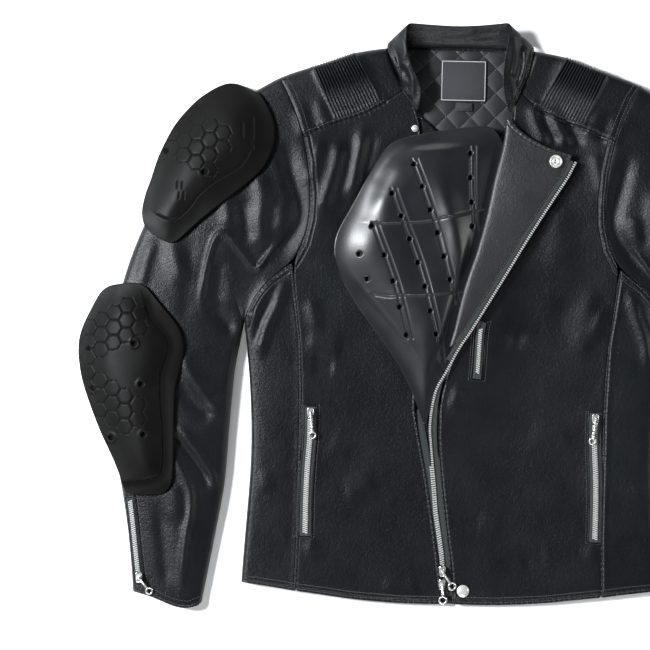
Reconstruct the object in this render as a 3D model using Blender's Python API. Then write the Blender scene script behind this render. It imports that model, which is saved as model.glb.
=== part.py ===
"""Leather motorcycle jacket with its armour, laid flat on its back, with the left front rolled open at the chest.

X runs across the jacket (the wearer's left is +X), Y from the hem to the collar and Z up from the surface it lies
on. The origin is under the middle of the back. Tables and functions work in millimetres.
"""

import math

import bmesh
import bpy
import numpy as np
from mathutils import Matrix, Vector
from mathutils.bvhtree import BVHTree

MM = 0.001
RIGHT, LEFT = -1, 1  # the wearer's sides, as signs of X
SIDE_NAME = {RIGHT: "right", LEFT: "left"}

SEAM_GAP = 0.3
REST_GAP = 0.5
REST_STEP = 4.0  # under a pad that lies on the leather
LEATHER = 2.0  # shell leather with its lining
FACED_LEATHER = 2.5  # the front where it is rolled back, shell and facing together
SATIN = 1.2
TAPE = 1.0
ROLL = 9.0  # half the height of the folded edge at the underarm
HEM_ROLL = 6.5
ON_OUTLINE = 0.08  # a point this share of the radius from the outline is on it
UNDERARM_UP = 26.0
HEM_UP = -300.0
ROLL_STEPS = (0.0, 0.14, 0.5, 1.0)  # places of the points round a folded edge, as shares of its radius

# Outlines, each row "out" from the centre line and "up" from the origin.
SIDE_EDGE = ((247, 26), (241, -18), (236, -88), (235, -125), (238, -182), (241, -223), (244, -278))
HEM_SIDE = ((244, -278), (220, -281), (198, -284), (179, -287))
HEM_FRONT = ((179, -287), (145, -291), (115, -295), (56, -299), (1, -299))
ARMHOLE_YOKE = ((213, 315), (202, 299), (191, 273), (183, 248))
ARMHOLE_FRONT = ((183, 248), (176, 214), (173, 180), (174, 150), (180, 122), (192, 99))
ARMHOLE_SIDE = ((192, 99), (206, 88), (220, 78), (232, 65), (242, 47), (247, 26))
SHOULDER = ((213, 315), (194, 323), (174, 329), (153, 336), (123, 347), (104, 351), (88, 353))
YOKE_SEAM = ((183, 248), (151, 262), (112, 276), (88, 289))
PRINCESS = ((192, 99), (186, 50), (180, 8), (177, -71), (177, -216), (179, -287))
SLEEVE_OUTER = (
    (213, 315), (258, 289), (299, 253), (333, 211), (354, 169), (381, 106), (399, 38), (408, -33),
    (401, -103), (387, -168), (378, -217), (371, -292),
)
SLEEVE_INNER = (
    (247, 26), (254, 4), (257, -25), (260, -65), (264, -136), (266, -172), (274, -210), (281, -253), (290, -304),
)
CUFF = ((371, -292), (351, -296), (335, -303), (318, -309), (303, -310), (290, -304))
NECK = {
    RIGHT: ((88, 353), (85, 343), (78, 325), (66, 304), (59, 294), (53, 284)),
    LEFT: ((88, 353), (86, 343), (81, 325), (70, 304), (66, 294), (62, 284)),
}
FRONT_EDGE = {
    RIGHT: (
        (53, 284), (46, 266), (45, 240), (46, 150), (45, -72), (34, -126), (27, -162), (21, -200), (15, -238),
        (9, -280), (1, -299),
    ),
    LEFT: (
        (62, 284), (60, 263), (56, 234), (48, 204), (42, 170), (35, 140), (27, 110), (17, 81), (10, 51), (4, 21),
        (-3, -3), (-11, -33), (-17, -62), (-17, -100), (-15, -126), (-11, -162), (-4, -216), (2, -255), (5, -299),
    ),
}
BACK_NECK = ((88, 353), (82, 357.5), (60, 359), (0, 360))

# Height of the upper layer's surface: a row for each "up", a column for each distance "out".
LEVEL_OUT = (0, 70, 150, 200, 245)
LEVEL_UP = (-300, -120, 60, 200, 330)
LEVEL = (
    (9.5, 9.5, 12.0, 13.5, 13.5),
    (10.5, 11.0, 13.0, 16.0, 16.0),
    (11.0, 12.0, 15.0, 19.0, 19.0),
    (12.0, 13.5, 19.0, 24.0, 24.0),
    (16.0, 17.0, 19.0, 19.0, 19.0),
)
# The edge of the left front is lifted by the chest pad: "up" and the height of its edge.
LIFTED_UP = (-300, -130, -100, -75, -40, 240, 284)
LIFTED = (9.5, 11.0, 14.0, 18.5, 21.0, 21.0, 18.0)
LIFTED_REACH = 80.0

SLEEVE_BLEND = 90.0  # the sleeve's own height takes over this far from the armhole

# Crown of the sleeve: share of its length and height of its middle.
CROWN_AT = (0.0, 0.22, 0.5, 0.75, 1.0)
CROWN = (24.0, 28.0, 26.0, 23.0, 16.0)

# Main creases, each a soft ridge (or a trough, with a height below zero) between two places:
# side, out, up, out at the other end, up there, height, half width.
CREASES = (
    (RIGHT, 272, 135, 285, 95, 4.0, 9),
    (RIGHT, 245, 150, 215, 140, 3.0, 10),
    (RIGHT, 290, 190, 265, 165, 3.0, 11),
    (RIGHT, 262, -30, 300, -60, 2.5, 12),
    (RIGHT, 330, -125, 280, -165, -2.5, 8),
    (RIGHT, 312, -195, 303, -290, 2.5, 9),
    (RIGHT, 224, 70, 232, 25, 2.0, 9),
    (RIGHT, 165, 240, 160, 120, 2.5, 12),
    (RIGHT, 168, 30, 130, 0, 1.5, 12),
    (LEFT, 100, 270, 120, 215, 2.5, 9),
    (LEFT, 118, 275, 150, 215, -2.0, 8),
    (LEFT, 120, 130, 128, 80, 2.0, 14),
    (LEFT, 60, -10, 10, -60, 2.5, 12),
    (LEFT, 275, 130, 290, 90, 3.5, 10),
    (LEFT, 255, 160, 220, 140, 3.0, 10),
    (LEFT, 330, 40, 275, 20, 2.5, 10),
    (LEFT, 340, -110, 285, -150, -2.5, 8),
    (LEFT, 320, -190, 315, -285, 2.5, 9),
)


# ---- curves and plan patches ------------------------------------------------------------------------------------

def smooth(value):
    value = np.clip(value, 0.0, 1.0)
    return value * value * (3.0 - 2.0 * value)


def smooth_curve(points, steps=10):
    """A close row of points on a smooth curve through the given ones, with its running length."""
    points = np.array(points, float)
    guides = np.vstack([2 * points[0] - points[1], points, 2 * points[-1] - points[-2]])
    t = np.linspace(0, 1, steps, endpoint=False)[:, None]
    stretches = []
    for before, start, end, after in zip(guides, guides[1:], guides[2:], guides[3:]):
        bend = (2 * before - 5 * start + 4 * end - after) * t**2
        twist = (3 * start - before - 3 * end + after) * t**3
        stretches.append(start + 0.5 * ((end - before) * t + bend + twist))
    close = np.vstack(stretches + [points[-1:]])
    length = np.concatenate([[0], np.cumsum(np.linalg.norm(np.diff(close, axis=0), axis=1))])
    return close, length


def at_lengths(curve, lengths):
    close, length = curve
    return np.column_stack([np.interp(lengths, length, column) for column in close.T])


def spaced(total, count, start=0.0, end=0.0):
    """Lengths along an edge: even cells, with closer ones round a fold of this radius at either end."""
    head = [step * start for step in ROLL_STEPS[:-1]] if start else []
    tail = [total - step * end for step in ROLL_STEPS[-2::-1]] if end else []
    return np.concatenate([head, np.linspace(start, total - end, count + 1), tail])


def edge(points, count, start=0.0, end=0.0):
    curve = smooth_curve(points)
    return at_lengths(curve, spaced(curve[1][-1], count, start, end))


def joined(*edges):
    """Edges one after another, each beginning where the last one ended."""
    return np.vstack([edges[0]] + [following[1:] for following in edges[1:]])


def shares(points):
    length = np.concatenate([[0], np.cumsum(np.linalg.norm(np.diff(points, axis=0), axis=1))])
    return length / length[-1]


def patch(top, bottom, left, right, fading=1):
    """Points of a panel between four edges: top and bottom run left to right, left and right top to bottom. The
    bows of the top and bottom edges fade into the panel, the faster the higher the fading."""
    u = ((shares(top) + shares(bottom)) / 2)[None, :, None]
    v = ((shares(left) + shares(right)) / 2)[:, None, None]
    ruled = (1 - u) * left[:, None] + u * right[:, None]
    top_bow = top - ruled[0]
    bottom_bow = bottom - ruled[-1]
    return ruled + (1 - v) ** fading * top_bow + v**fading * bottom_bow


def respaced(plan, start=0.0, end=0.0, first=1):
    """The rows from the given one to the last but one, with their points close together round folded ends."""
    fixed = plan.copy()
    for row in range(first, len(plan) - 1):
        length = shares(plan[row]) * np.linalg.norm(np.diff(plan[row], axis=0), axis=1).sum()
        count = plan.shape[1] - 1 - 3 * bool(start) - 3 * bool(end)
        fixed[row] = at_lengths((plan[row], length), spaced(length[-1], count, start, end))
    return fixed


def distance(plan, line):
    """Shortest plan distance from each point to a line of straight chords."""
    flat = plan.reshape(-1, 1, 2)
    start, run = line[None, :-1], np.diff(line, axis=0)[None]
    share = np.clip(((flat - start) * run).sum(-1) / (run**2).sum(-1), 0, 1)
    nearest = start + share[..., None] * run
    return np.linalg.norm(flat - nearest, axis=-1).min(1).reshape(plan.shape[:-1])


# ---- heights ----------------------------------------------------------------------------------------------------

FOLDED_EDGES = [
    smooth_curve(SHOULDER)[0],
    smooth_curve(SLEEVE_OUTER)[0],
    smooth_curve(SIDE_EDGE)[0],
    smooth_curve(SLEEVE_INNER)[0],
]


def fold_radius(up):
    return HEM_ROLL + (ROLL - HEM_ROLL) * np.clip((up - HEM_UP) / (UNDERARM_UP - HEM_UP), 0, 1)


def from_fold(plan):
    """Distance from the folded outline, as a share of the fold's radius, up to 1."""
    nearest = np.min([distance(plan, line) for line in FOLDED_EDGES], axis=0)
    return np.clip(nearest / fold_radius(plan[..., 1]), 0, 1)


def over_fold(plan, level):
    """Height of the upper layer: it comes up round the fold to its level."""
    radius = fold_radius(plan[..., 1])
    return radius + (level - radius) * np.sqrt(1 - (1 - from_fold(plan)) ** 2)


def under_fold(plan):
    """Height of the lower layer's underside, which is flat on the surface and turns up round the fold."""
    return fold_radius(plan[..., 1]) * (1 - np.sqrt(1 - (1 - from_fold(plan)) ** 2))


def creases(plan, side):
    height = np.zeros(plan.shape[:-1])
    for own_side, out, up, far_out, far_up, rise, half_width in CREASES:
        if own_side != side:
            continue
        line = np.array([[out, up], [far_out, far_up]], float)
        height += rise * np.exp(-((distance(plan, line) / half_width) ** 2))
    return height * from_fold(plan)


def table_level(plan):
    rows = [np.interp(plan[..., 0], LEVEL_OUT, row) for row in LEVEL]
    place = np.interp(plan[..., 1], LEVEL_UP, range(len(LEVEL)))
    below = np.clip(np.floor(place).astype(int), 0, len(LEVEL) - 2)
    share = smooth(place - below)
    lower = np.choose(below, rows[:-1])
    upper = np.choose(below, rows[1:])
    return lower + (upper - lower) * share


def body_height(plan, side):
    return over_fold(plan, table_level(plan)) + creases(plan, side)


def left_front_height(plan):
    """The left front, whose edge lies on the chest pad."""
    edge_line = smooth_curve(FRONT_EDGE[LEFT])[0]
    near = smooth(1 - distance(plan, edge_line) / LIFTED_REACH)
    height = body_height(plan, LEFT)
    return height + (np.interp(plan[..., 1], LIFTED_UP, LIFTED) - table_level(plan)) * near


# ---- solids -----------------------------------------------------------------------------------------------------

def start_model():
    for old in list(bpy.data.objects):
        bpy.data.objects.remove(old, do_unlink=True)
    made = bpy.data.collections.new("motorcycle_jacket")
    bpy.context.scene.collection.children.link(made)
    return made


MODEL = start_model()


def finish(name, colour, roughness, metallic=0.0):
    material = bpy.data.materials.new(name)
    material.use_nodes = True
    shader = material.node_tree.nodes["Principled BSDF"]
    shader.inputs["Base Color"].default_value = (*colour, 1.0)
    shader.inputs["Roughness"].default_value = roughness
    shader.inputs["Metallic"].default_value = metallic
    return material


BLACK_LEATHER = finish("black_leather", (0.020, 0.022, 0.026), 0.42)
BLACK_SATIN = finish("black_satin", (0.012, 0.012, 0.014), 0.35)
LABEL_CLOTH = finish("label_cloth", (0.09, 0.09, 0.10), 0.7)
ZIP_TAPE = finish("zip_tape", (0.055, 0.065, 0.062), 0.8)
NICKEL = finish("nickel", (0.72, 0.72, 0.70), 0.28, 1.0)
MATTE_PAD = finish("matte_pad", (0.022, 0.020, 0.019), 0.6)
GLOSS_PAD = finish("gloss_pad", (0.010, 0.010, 0.012), 0.2)


def add_object(name, mesh, material):
    made = bpy.data.objects.new(name, mesh)
    made.data.materials.append(material)
    MODEL.objects.link(made)
    return made


def rim_of(shape):
    """Grid places of the rim of a sheet, in order."""
    rows, columns = shape
    rim = [(0, j) for j in range(columns)] + [(i, columns - 1) for i in range(1, rows)]
    rim += [(rows - 1, j) for j in range(columns - 2, -1, -1)] + [(i, 0) for i in range(rows - 2, 0, -1)]
    return rim


def sheet_normals(sheet, up, on_fold):
    """Unit normals. A cut edge is square to its panel, and an edge on the folded outline opens level."""
    normal = np.cross(np.gradient(sheet, axis=1), np.gradient(sheet, axis=0))
    normal *= up * np.sign(normal[..., 2].sum()) / np.linalg.norm(normal, axis=-1, keepdims=True)
    if on_fold is None:
        return normal
    rim = rim_of(sheet.shape[:2])
    for before, place, after in zip(rim[-1:] + rim[:-1], rim, rim[1:] + rim[:1]):
        if not on_fold[place]:
            run = (sheet[after] - sheet[before])[:2]
            across = np.array([-run[1], run[0], 0]) / np.linalg.norm(run)
            normal[place] -= (normal[place] @ across) * across
            if place[0] in (0, sheet.shape[0] - 1) and place[1] in (0, sheet.shape[1] - 1):
                normal[place] = (0, 0, up)
            continue
        cut = before if not on_fold[before] else after
        if not on_fold[cut]:
            normal[place] = sheet[place] - sheet[cut]
        normal[place] *= (1, 1, 0)
    return normal / np.linalg.norm(normal, axis=-1, keepdims=True)


def wall(name, sheet, thick, material, up=1, on_fold=None, relief=None, ridge_cells=False):
    """A panel of cloth: its outer points, an even wall behind them, and relief raised on the outside alone."""
    normal = sheet_normals(sheet, up, on_fold)
    inner = sheet - normal * thick
    outer = sheet if relief is None else sheet + normal * relief[..., None]
    return closed_body(name, outer, inner, material, ridge_cells)


def closed_body(name, outer, inner, material, ridge_cells=False):
    """The solid between two grids of points that have the same rim places."""
    rows, columns = outer.shape[:2]
    shape = bmesh.new()
    grids = []
    for points in (outer, inner):
        grids.append([[shape.verts.new(Vector(point) * MM) for point in row] for row in points])
    for grid in grids:
        for i in range(rows - 1):
            for j in range(columns - 1):
                corners = [grid[i][j], grid[i][j + 1], grid[i + 1][j + 1], grid[i + 1][j]]
                if not ridge_cells:
                    shape.faces.new(corners)
                    continue
                first = (i + j) % 2  # the cell is split from stitch to stitch
                shape.faces.new([corners[first], corners[first + 1], corners[first + 2]])
                shape.faces.new([corners[first + 2], corners[(first + 3) % 4], corners[first]])
    rim = rim_of((rows, columns))
    for (i, j), (k, m) in zip(rim, rim[1:] + rim[:1]):
        shape.faces.new([grids[0][i][j], grids[0][k][m], grids[1][k][m], grids[1][i][j]])
    bmesh.ops.recalc_face_normals(shape, faces=shape.faces)
    return add_solid(name, shape, material)


def add_solid(name, shape, material):
    mesh = bpy.data.meshes.new(name)
    shape.to_mesh(mesh)
    shape.free()
    return add_object(name, mesh, material)


def parted(plan, borders, rows=None):
    """The plan drawn in by half the seam gap along these borders, or along their first rows."""
    plan = plan.copy()
    views = {
        "t": (plan[0], plan[1]), "b": (plan[-1], plan[-2]),
        "l": (plan[:rows, 0], plan[:rows, 1]), "r": (plan[:rows, -1], plan[:rows, -2]),
    }
    for key in borders:
        line, inside = views[key]
        run = np.gradient(line, axis=0)
        across = np.column_stack([-run[:, 1], run[:, 0]]) / np.linalg.norm(run, axis=1)[:, None]
        across *= np.sign(((inside - line) * across).sum(1))[:, None]
        line += across * SEAM_GAP / 2
    return plan


def on_side(plan, height, side):
    return np.dstack([plan[..., 0] * side, plan[..., 1], height])


def to_side_seam(sheet, up=1):
    """Puts the rim points on the folded outline half way up the fold, where the seam is, and says which they are."""
    rim = np.ones(sheet.shape[:2], bool)
    rim[1:-1, 1:-1] = False
    on_fold = rim & (from_fold(np.dstack([np.abs(sheet[..., 0]), sheet[..., 1]])) < ON_OUTLINE)
    sheet[on_fold, 2] = fold_radius(sheet[on_fold, 1]) + up * SEAM_GAP / 2
    return on_fold


# ---- shell panels -----------------------------------------------------------------------------------------------

YOKE_ROWS, FRONT_ROWS = 5, 7  # cells of the armhole beside the yoke and beside the front
ARMHOLE = joined(
    edge(ARMHOLE_YOKE, YOKE_ROWS - 3, start=ROLL),
    edge(ARMHOLE_FRONT, FRONT_ROWS),
    edge(ARMHOLE_SIDE, 3, end=ROLL),
)
PRINCESS_LINE = edge(PRINCESS, 8)
FRONT_COLUMNS = 8
RIBS = 16
RIB_HEIGHT = 1.6
RIBS_FROM = (0.31, 0.30)  # the ribbed patch, as shares of the shoulder line and of the yoke seam
RIBS_TO = (0.72, 0.80)
RIBS_END = 0.88


def yoke(side):
    neck = smooth_curve(NECK[side])
    neck_end = at_lengths(neck, [np.interp(-304, -neck[0][:, 1], neck[1])])[0]
    seam = smooth_curve(YOKE_SEAM + (tuple(neck_end),))
    shoulder = smooth_curve(SHOULDER)
    stops = []
    for start, end in zip(RIBS_FROM, RIBS_TO):
        ribs = np.linspace(start, end, 2 * RIBS + 1)
        stops.append(np.concatenate([[0, start / 2], ribs, [(1 + end) / 2, 1]]))
    top = at_lengths(shoulder, stops[0] * shoulder[1][-1])
    bottom = at_lengths(seam, stops[1] * seam[1][-1])
    left = ARMHOLE[: YOKE_ROWS + 1]
    fall = np.append(shares(left)[:-1], [RIBS_END, 1.0])
    left = at_lengths((left, shares(left)), fall)
    right = at_lengths(neck, fall * np.interp(-304, -neck[0][:, 1], neck[1]))
    plan = parted(patch(top, bottom, left, right), "lb")
    sheet = on_side(plan, body_height(plan, side), side)
    on_fold = to_side_seam(sheet)
    relief = np.zeros(plan.shape[:-1])
    relief[:-2, 3:-2:2] = RIB_HEIGHT
    wall(f"yoke_{SIDE_NAME[side]}", sheet, LEATHER, BLACK_LEATHER, on_fold=on_fold, relief=relief)


def front(side):
    neck = smooth_curve(NECK[side])
    yoke_at = np.interp(-304, -neck[0][:, 1], neck[1])
    neck_end = at_lengths(neck, [yoke_at])[0]
    seam = smooth_curve(YOKE_SEAM + (tuple(neck_end),))
    top = at_lengths(seam, np.linspace(0, seam[1][-1], FRONT_COLUMNS + 1))
    left = joined(ARMHOLE[YOKE_ROWS : YOKE_ROWS + FRONT_ROWS + 1], PRINCESS_LINE)
    neck_and_edge = joined(at_lengths(neck, np.linspace(yoke_at, neck[1][-1], 3)), smooth_curve(FRONT_EDGE[side])[0])
    length = np.concatenate([[0], np.cumsum(np.linalg.norm(np.diff(neck_and_edge, axis=0), axis=1))])
    right = at_lengths((neck_and_edge, length), shares(left) * length[-1])
    hem = HEM_FRONT if side == RIGHT else HEM_FRONT[:-1] + ((5, -299),)
    plan = parted(patch(top, edge(hem, FRONT_COLUMNS), left, right), "tl")
    height = left_front_height(plan) if side == LEFT else body_height(plan, side)
    sheet = on_side(plan, height, side)
    wall(f"front_{SIDE_NAME[side]}", sheet, LEATHER, BLACK_LEATHER, on_fold=to_side_seam(sheet))


def side_front(side):
    top = ARMHOLE[YOKE_ROWS + FRONT_ROWS :][::-1]
    count = len(top) - 4
    left = edge(SIDE_EDGE, len(PRINCESS_LINE) - 1)
    bottom = edge(HEM_SIDE, count, start=HEM_ROLL)
    plan = parted(respaced(patch(top, bottom, left, PRINCESS_LINE), start=ROLL), "tr")
    sheet = on_side(plan, body_height(plan, side), side)
    on_fold = to_side_seam(sheet)
    wall(f"side_front_{SIDE_NAME[side]}", sheet, LEATHER, BLACK_LEATHER, on_fold=on_fold)


def mirrored(points):
    return points[::-1] * (-1, 1)


def back():
    shoulder = edge(SHOULDER, 3, start=ROLL)
    neck = edge(BACK_NECK, 2)
    half = joined(shoulder, neck) * (-1, 1)
    top = joined(half, mirrored(half))
    left = joined(ARMHOLE, edge(SIDE_EDGE, 6)) * (-1, 1)
    hem = joined(edge(HEM_SIDE, 1, start=HEM_ROLL), edge(HEM_FRONT[:-1] + ((0, -299),), 4)) * (-1, 1)
    bottom = joined(hem, mirrored(hem))
    plan = respaced(patch(top, bottom, left, left * (-1, 1)), start=ROLL, end=ROLL)
    plan = parted(plan, "lr", rows=len(ARMHOLE))
    height = under_fold(np.dstack([np.abs(plan[..., 0]), plan[..., 1]]))
    sheet = np.dstack([plan, height])
    on_fold = to_side_seam(sheet, up=-1)
    wall("back", sheet, LEATHER, BLACK_LEATHER, up=-1, on_fold=on_fold)


def sleeve(side):
    """The armhole from the shoulder to the princess seam is the sleeve's top edge; the rest of it leads on into
    the inner edge of the sleeve."""
    top = ARMHOLE[: YOKE_ROWS + FRONT_ROWS + 1]
    beside_body = ARMHOLE[YOKE_ROWS + FRONT_ROWS :]
    bottom = edge(CUFF, len(top) - 7, start=HEM_ROLL, end=HEM_ROLL)
    for layer, rows in (("upper", 9), ("under", 6)):
        right = joined(beside_body, edge(SLEEVE_INNER, rows))
        left = edge(SLEEVE_OUTER, len(right) - 1)
        plan = patch(top, bottom, left, right, fading=3)
        plan = respaced(plan, start=ROLL, end=ROLL, first=len(beside_body) - 1)
        plan = parted(parted(plan, "t"), "r", rows=len(beside_body))
        name = f"sleeve_{layer}_{SIDE_NAME[side]}"
        if layer == "under":
            sheet = on_side(plan, under_fold(plan), side)
            wall(name, sheet, LEATHER, BLACK_LEATHER, up=-1, on_fold=to_side_seam(sheet, up=-1))
            continue
        fall = shares(left)[:, None]
        middle = 1 - np.abs(2 * np.array([shares(row) for row in plan]) - 1) ** 2.4
        edge_level = 2 * fold_radius(plan[..., 1])
        crowned = edge_level + (np.interp(fall, CROWN_AT, CROWN) - edge_level) * middle
        from_armhole = distance(plan, ARMHOLE) / SLEEVE_BLEND
        level = table_level(plan) + (crowned - table_level(plan)) * smooth(from_armhole)
        sheet = on_side(plan, over_fold(plan, level) + creases(plan, side), side)
        wall(name, sheet, LEATHER, BLACK_LEATHER, on_fold=to_side_seam(sheet))


back()
for side in (RIGHT, LEFT):
    yoke(side)
    front(side)
    side_front(side)
    sleeve(side)


# ---- what lies on the panels ------------------------------------------------------------------------------------

def upper_faces(*names):
    """The named solids in millimetres, for finding the height of their top."""
    points, faces = [], []
    for name in names:
        mesh = bpy.data.objects[name].data
        faces += [[index + len(points) for index in face.vertices] for face in mesh.polygons]
        points += [vertex.co / MM for vertex in mesh.vertices]
    return BVHTree.FromPolygons(points, faces)


def top_at(tree, x, y):
    place = tree.ray_cast(Vector((x, y, 200)), Vector((0, 0, -1)))[0]
    return place.z if place else None


def across_path(path):
    run = np.gradient(path[:, :2], axis=0)
    across = np.column_stack([-run[:, 1], run[:, 0]]) / np.linalg.norm(run, axis=1)[:, None]
    return across


def ribbon(name, path, near, far, thick, material, heights):
    """A strip beside a plan path, from near to far on its left hand, with its top at these heights."""
    sides = [path[:, :2] + across_path(path) * np.reshape(aside, (-1, 1)) for aside in (near, far)]
    return wall(name, np.array([np.column_stack([plan, heights]) for plan in sides]), thick, material)


AROUND = [np.array((math.cos(turn), math.sin(turn))) for turn in np.radians(range(0, 360, 30))]


def rest_height(tree, plan, reach, fall=0.0, least=None):
    """Height of a stiff piece over these solids: the highest of the tops within reach, less the fall to each."""
    found = [top_at(tree, *plan), least]
    for radius in np.arange(REST_STEP, reach + REST_STEP, REST_STEP):
        drop = fall * max(0, radius - 2 * REST_STEP)
        tops = [top_at(tree, *(plan + radius * way)) for way in AROUND]
        found += [top - drop for top in tops if top is not None]
    return max(top for top in found if top is not None)


# The collar, from the end on the right front, round the back of the neck, to the end on the left front. Each row:
# side, foot (out, up, height), free edge (out, up, height).
COLLAR = (
    (RIGHT, 53.5, 284.0, 17.0, 49.0, 286.0, 20.0),
    (RIGHT, 58.5, 294.0, 17.3, 47.0, 295.0, 25.0),
    (RIGHT, 65.5, 304.5, 17.6, 46.0, 308.0, 29.0),
    (RIGHT, 77.0, 325.5, 18.3, 52.0, 325.0, 32.0),
    (RIGHT, 84.3, 343.5, 17.5, 61.0, 342.0, 34.0),
    (RIGHT, 87.0, 352.5, 13.0, 65.0, 361.0, 35.0),
    (RIGHT, 86.5, 358.5, 7.5, 65.0, 376.0, 33.0),
    (RIGHT, 80.0, 361.5, 4.0, 61.0, 381.0, 30.0),
    (RIGHT, 56.0, 362.0, 2.6, 50.0, 381.0, 27.0),
    (RIGHT, 0.0, 362.5, 2.6, 0.0, 379.0, 26.0),
    (LEFT, 56.0, 362.0, 2.6, 44.0, 383.0, 27.0),
    (LEFT, 80.0, 361.5, 4.0, 53.0, 384.0, 30.0),
    (LEFT, 86.5, 358.5, 7.5, 56.0, 379.0, 33.0),
    (LEFT, 87.0, 352.5, 13.0, 53.0, 361.0, 35.0),
    (LEFT, 85.3, 343.5, 17.5, 50.0, 343.0, 34.0),
    (LEFT, 80.0, 325.0, 18.6, 49.0, 326.0, 32.0),
    (LEFT, 72.5, 309.5, 18.6, 50.0, 312.0, 29.0),
    (LEFT, 65.0, 294.0, 19.0, 54.0, 297.0, 26.0),
    (LEFT, 61.0, 285.5, 19.3, 57.0, 287.0, 21.5),
)
COLLAR_CELLS = 34
COLLAR_ROWS = 4


def collar():
    feet = np.array([(side * out, up, height) for side, out, up, height, *_ in COLLAR])
    tops = np.array([(row[0] * row[4], row[5], row[6]) for row in COLLAR])
    stations = np.linspace(0, 1, COLLAR_CELLS + 1)
    lines = []
    for points in (feet, tops):
        close, _ = smooth_curve(points)
        lines.append(np.column_stack([np.interp(stations, np.linspace(0, 1, len(close)), c) for c in close.T]))
    share = np.linspace(0, 1, COLLAR_ROWS + 1)[:, None, None]
    bulge = np.sin(math.pi * share) * (0, 0, 1.2)
    sheet = lines[0] + (lines[1] - lines[0]) * share + bulge
    wall("collar", sheet, LEATHER, BLACK_LEATHER, up=1)


# The quilted lining shows inside the neck.
QUILT = 14.5  # half a diamond
QUILT_RISE = 1.6
LINING_RIGHT, LINING_LEFT, LINING_TOP, LINING_FOOT = -72.5, 72.5, 352.5, 236.5


def lining():
    columns = round((LINING_LEFT - LINING_RIGHT) / QUILT)
    rows = round((LINING_TOP - LINING_FOOT) / QUILT)
    x = np.linspace(LINING_RIGHT, LINING_LEFT, columns + 1)
    y = np.linspace(LINING_TOP, LINING_FOOT, rows + 1)
    sheet = np.dstack([*np.meshgrid(x, y), np.full((rows + 1, columns + 1), LEATHER + SEAM_GAP + SATIN)])
    relief = np.fromfunction(lambda i, j: (i + j) % 2 * QUILT_RISE, (rows + 1, columns + 1))
    wall("lining_back", sheet, SATIN, BLACK_SATIN, relief=relief, ridge_cells=True)


def box(name, low, high, material):
    shape = bmesh.new()
    bmesh.ops.create_cube(shape, size=1.0)
    size = Vector(high) - Vector(low)
    bmesh.ops.scale(shape, vec=size * MM, verts=shape.verts)
    made = add_solid(name, shape, material)
    made.location = (Vector(low) + size / 2) * MM
    return made


LABEL = (-23.0, 292.0, 32.0, 342.0)  # left, foot, right and top of the neck label
SIZE_TAB = (-4.5, 281.0, 16.0, 291.6)
LABEL_THICK = 1.0
LINING_SURFACE = LEATHER + SEAM_GAP + SATIN + QUILT_RISE


def labels():
    for name, (left, foot, right, top) in (("neck_label", LABEL), ("size_tab", SIZE_TAB)):
        low = LINING_SURFACE + SEAM_GAP
        box(name, (left, foot, low), (right, top, low + LABEL_THICK), LABEL_CLOTH)


# The wind flap behind the zip: right edge and left edge at each "up", in X.
WIND_FLAP = (
    (276, -60, -49), (270, -60, -36), (258, -61, -10), (200, -60, -6), (0, -56, -12), (-90, -52, -8),
    (-160, -40, 0), (-240, -28, 8), (-297, -14, 12),
)


def wind_flap():
    rows = np.array(WIND_FLAP, float)
    sheet = []
    for up in np.linspace(rows[0, 0], rows[-1, 0], 19):
        start, end = (np.interp(-up, -rows[:, 0], rows[:, k]) for k in (1, 2))
        x = np.linspace(start, end, 4)
        plan = np.column_stack([np.abs(x), np.full(4, up)])
        height = table_level(plan) - LEATHER - TAPE - 2 * SEAM_GAP
        sheet.append(np.column_stack([x, plan[:, 1], height]))
    wall("wind_flap", np.array(sheet), 1.5, BLACK_LEATHER)


# ---- the rolled-back left front and the main zip ----------------------------------------------------------------

ROLL_LINE = (
    (54, 272), (54, 263), (50, 234), (42, 204), (36, 170), (29, 140), (21, 110), (11, 81), (4, 51), (-2, 21),
    (-7, 4),
)
LAPEL_NECK = ((54, 272), (63, 262), (74, 253), (91, 244), (104, 238), (121, 234), (132, 231))
# The zip's left chain from the lapel corner down: x, up, and the height of the tape under it.
ZIP_OPEN = (
    (136, 222, 27), (127, 204, 27), (112, 180, 26.5), (85, 136, 26), (53, 81, 25), (21, 27, 25), (5, 2, 25),
    (-10, -27, 24), (-20, -46, 22), (-25, -70, 18.3), (-27, -93, 14.2), (-25.5, -114, 11.2), (-24, -128, 9.6),
)
ZIP_CLOSED = ((-24, -128), (-20, -162), (-17, -192), (-13, -216), (-9, -241), (-8, -253))
LAPEL_TAPE = 7.0  # of tape between the lapel's leather and the middle of the chain
LAPEL_RADIUS = (4.4, 3.4)  # of the roll, at the neck and at the tip
LAPEL_ROWS = 14
LOWER_LEAF = 4.9


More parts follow.
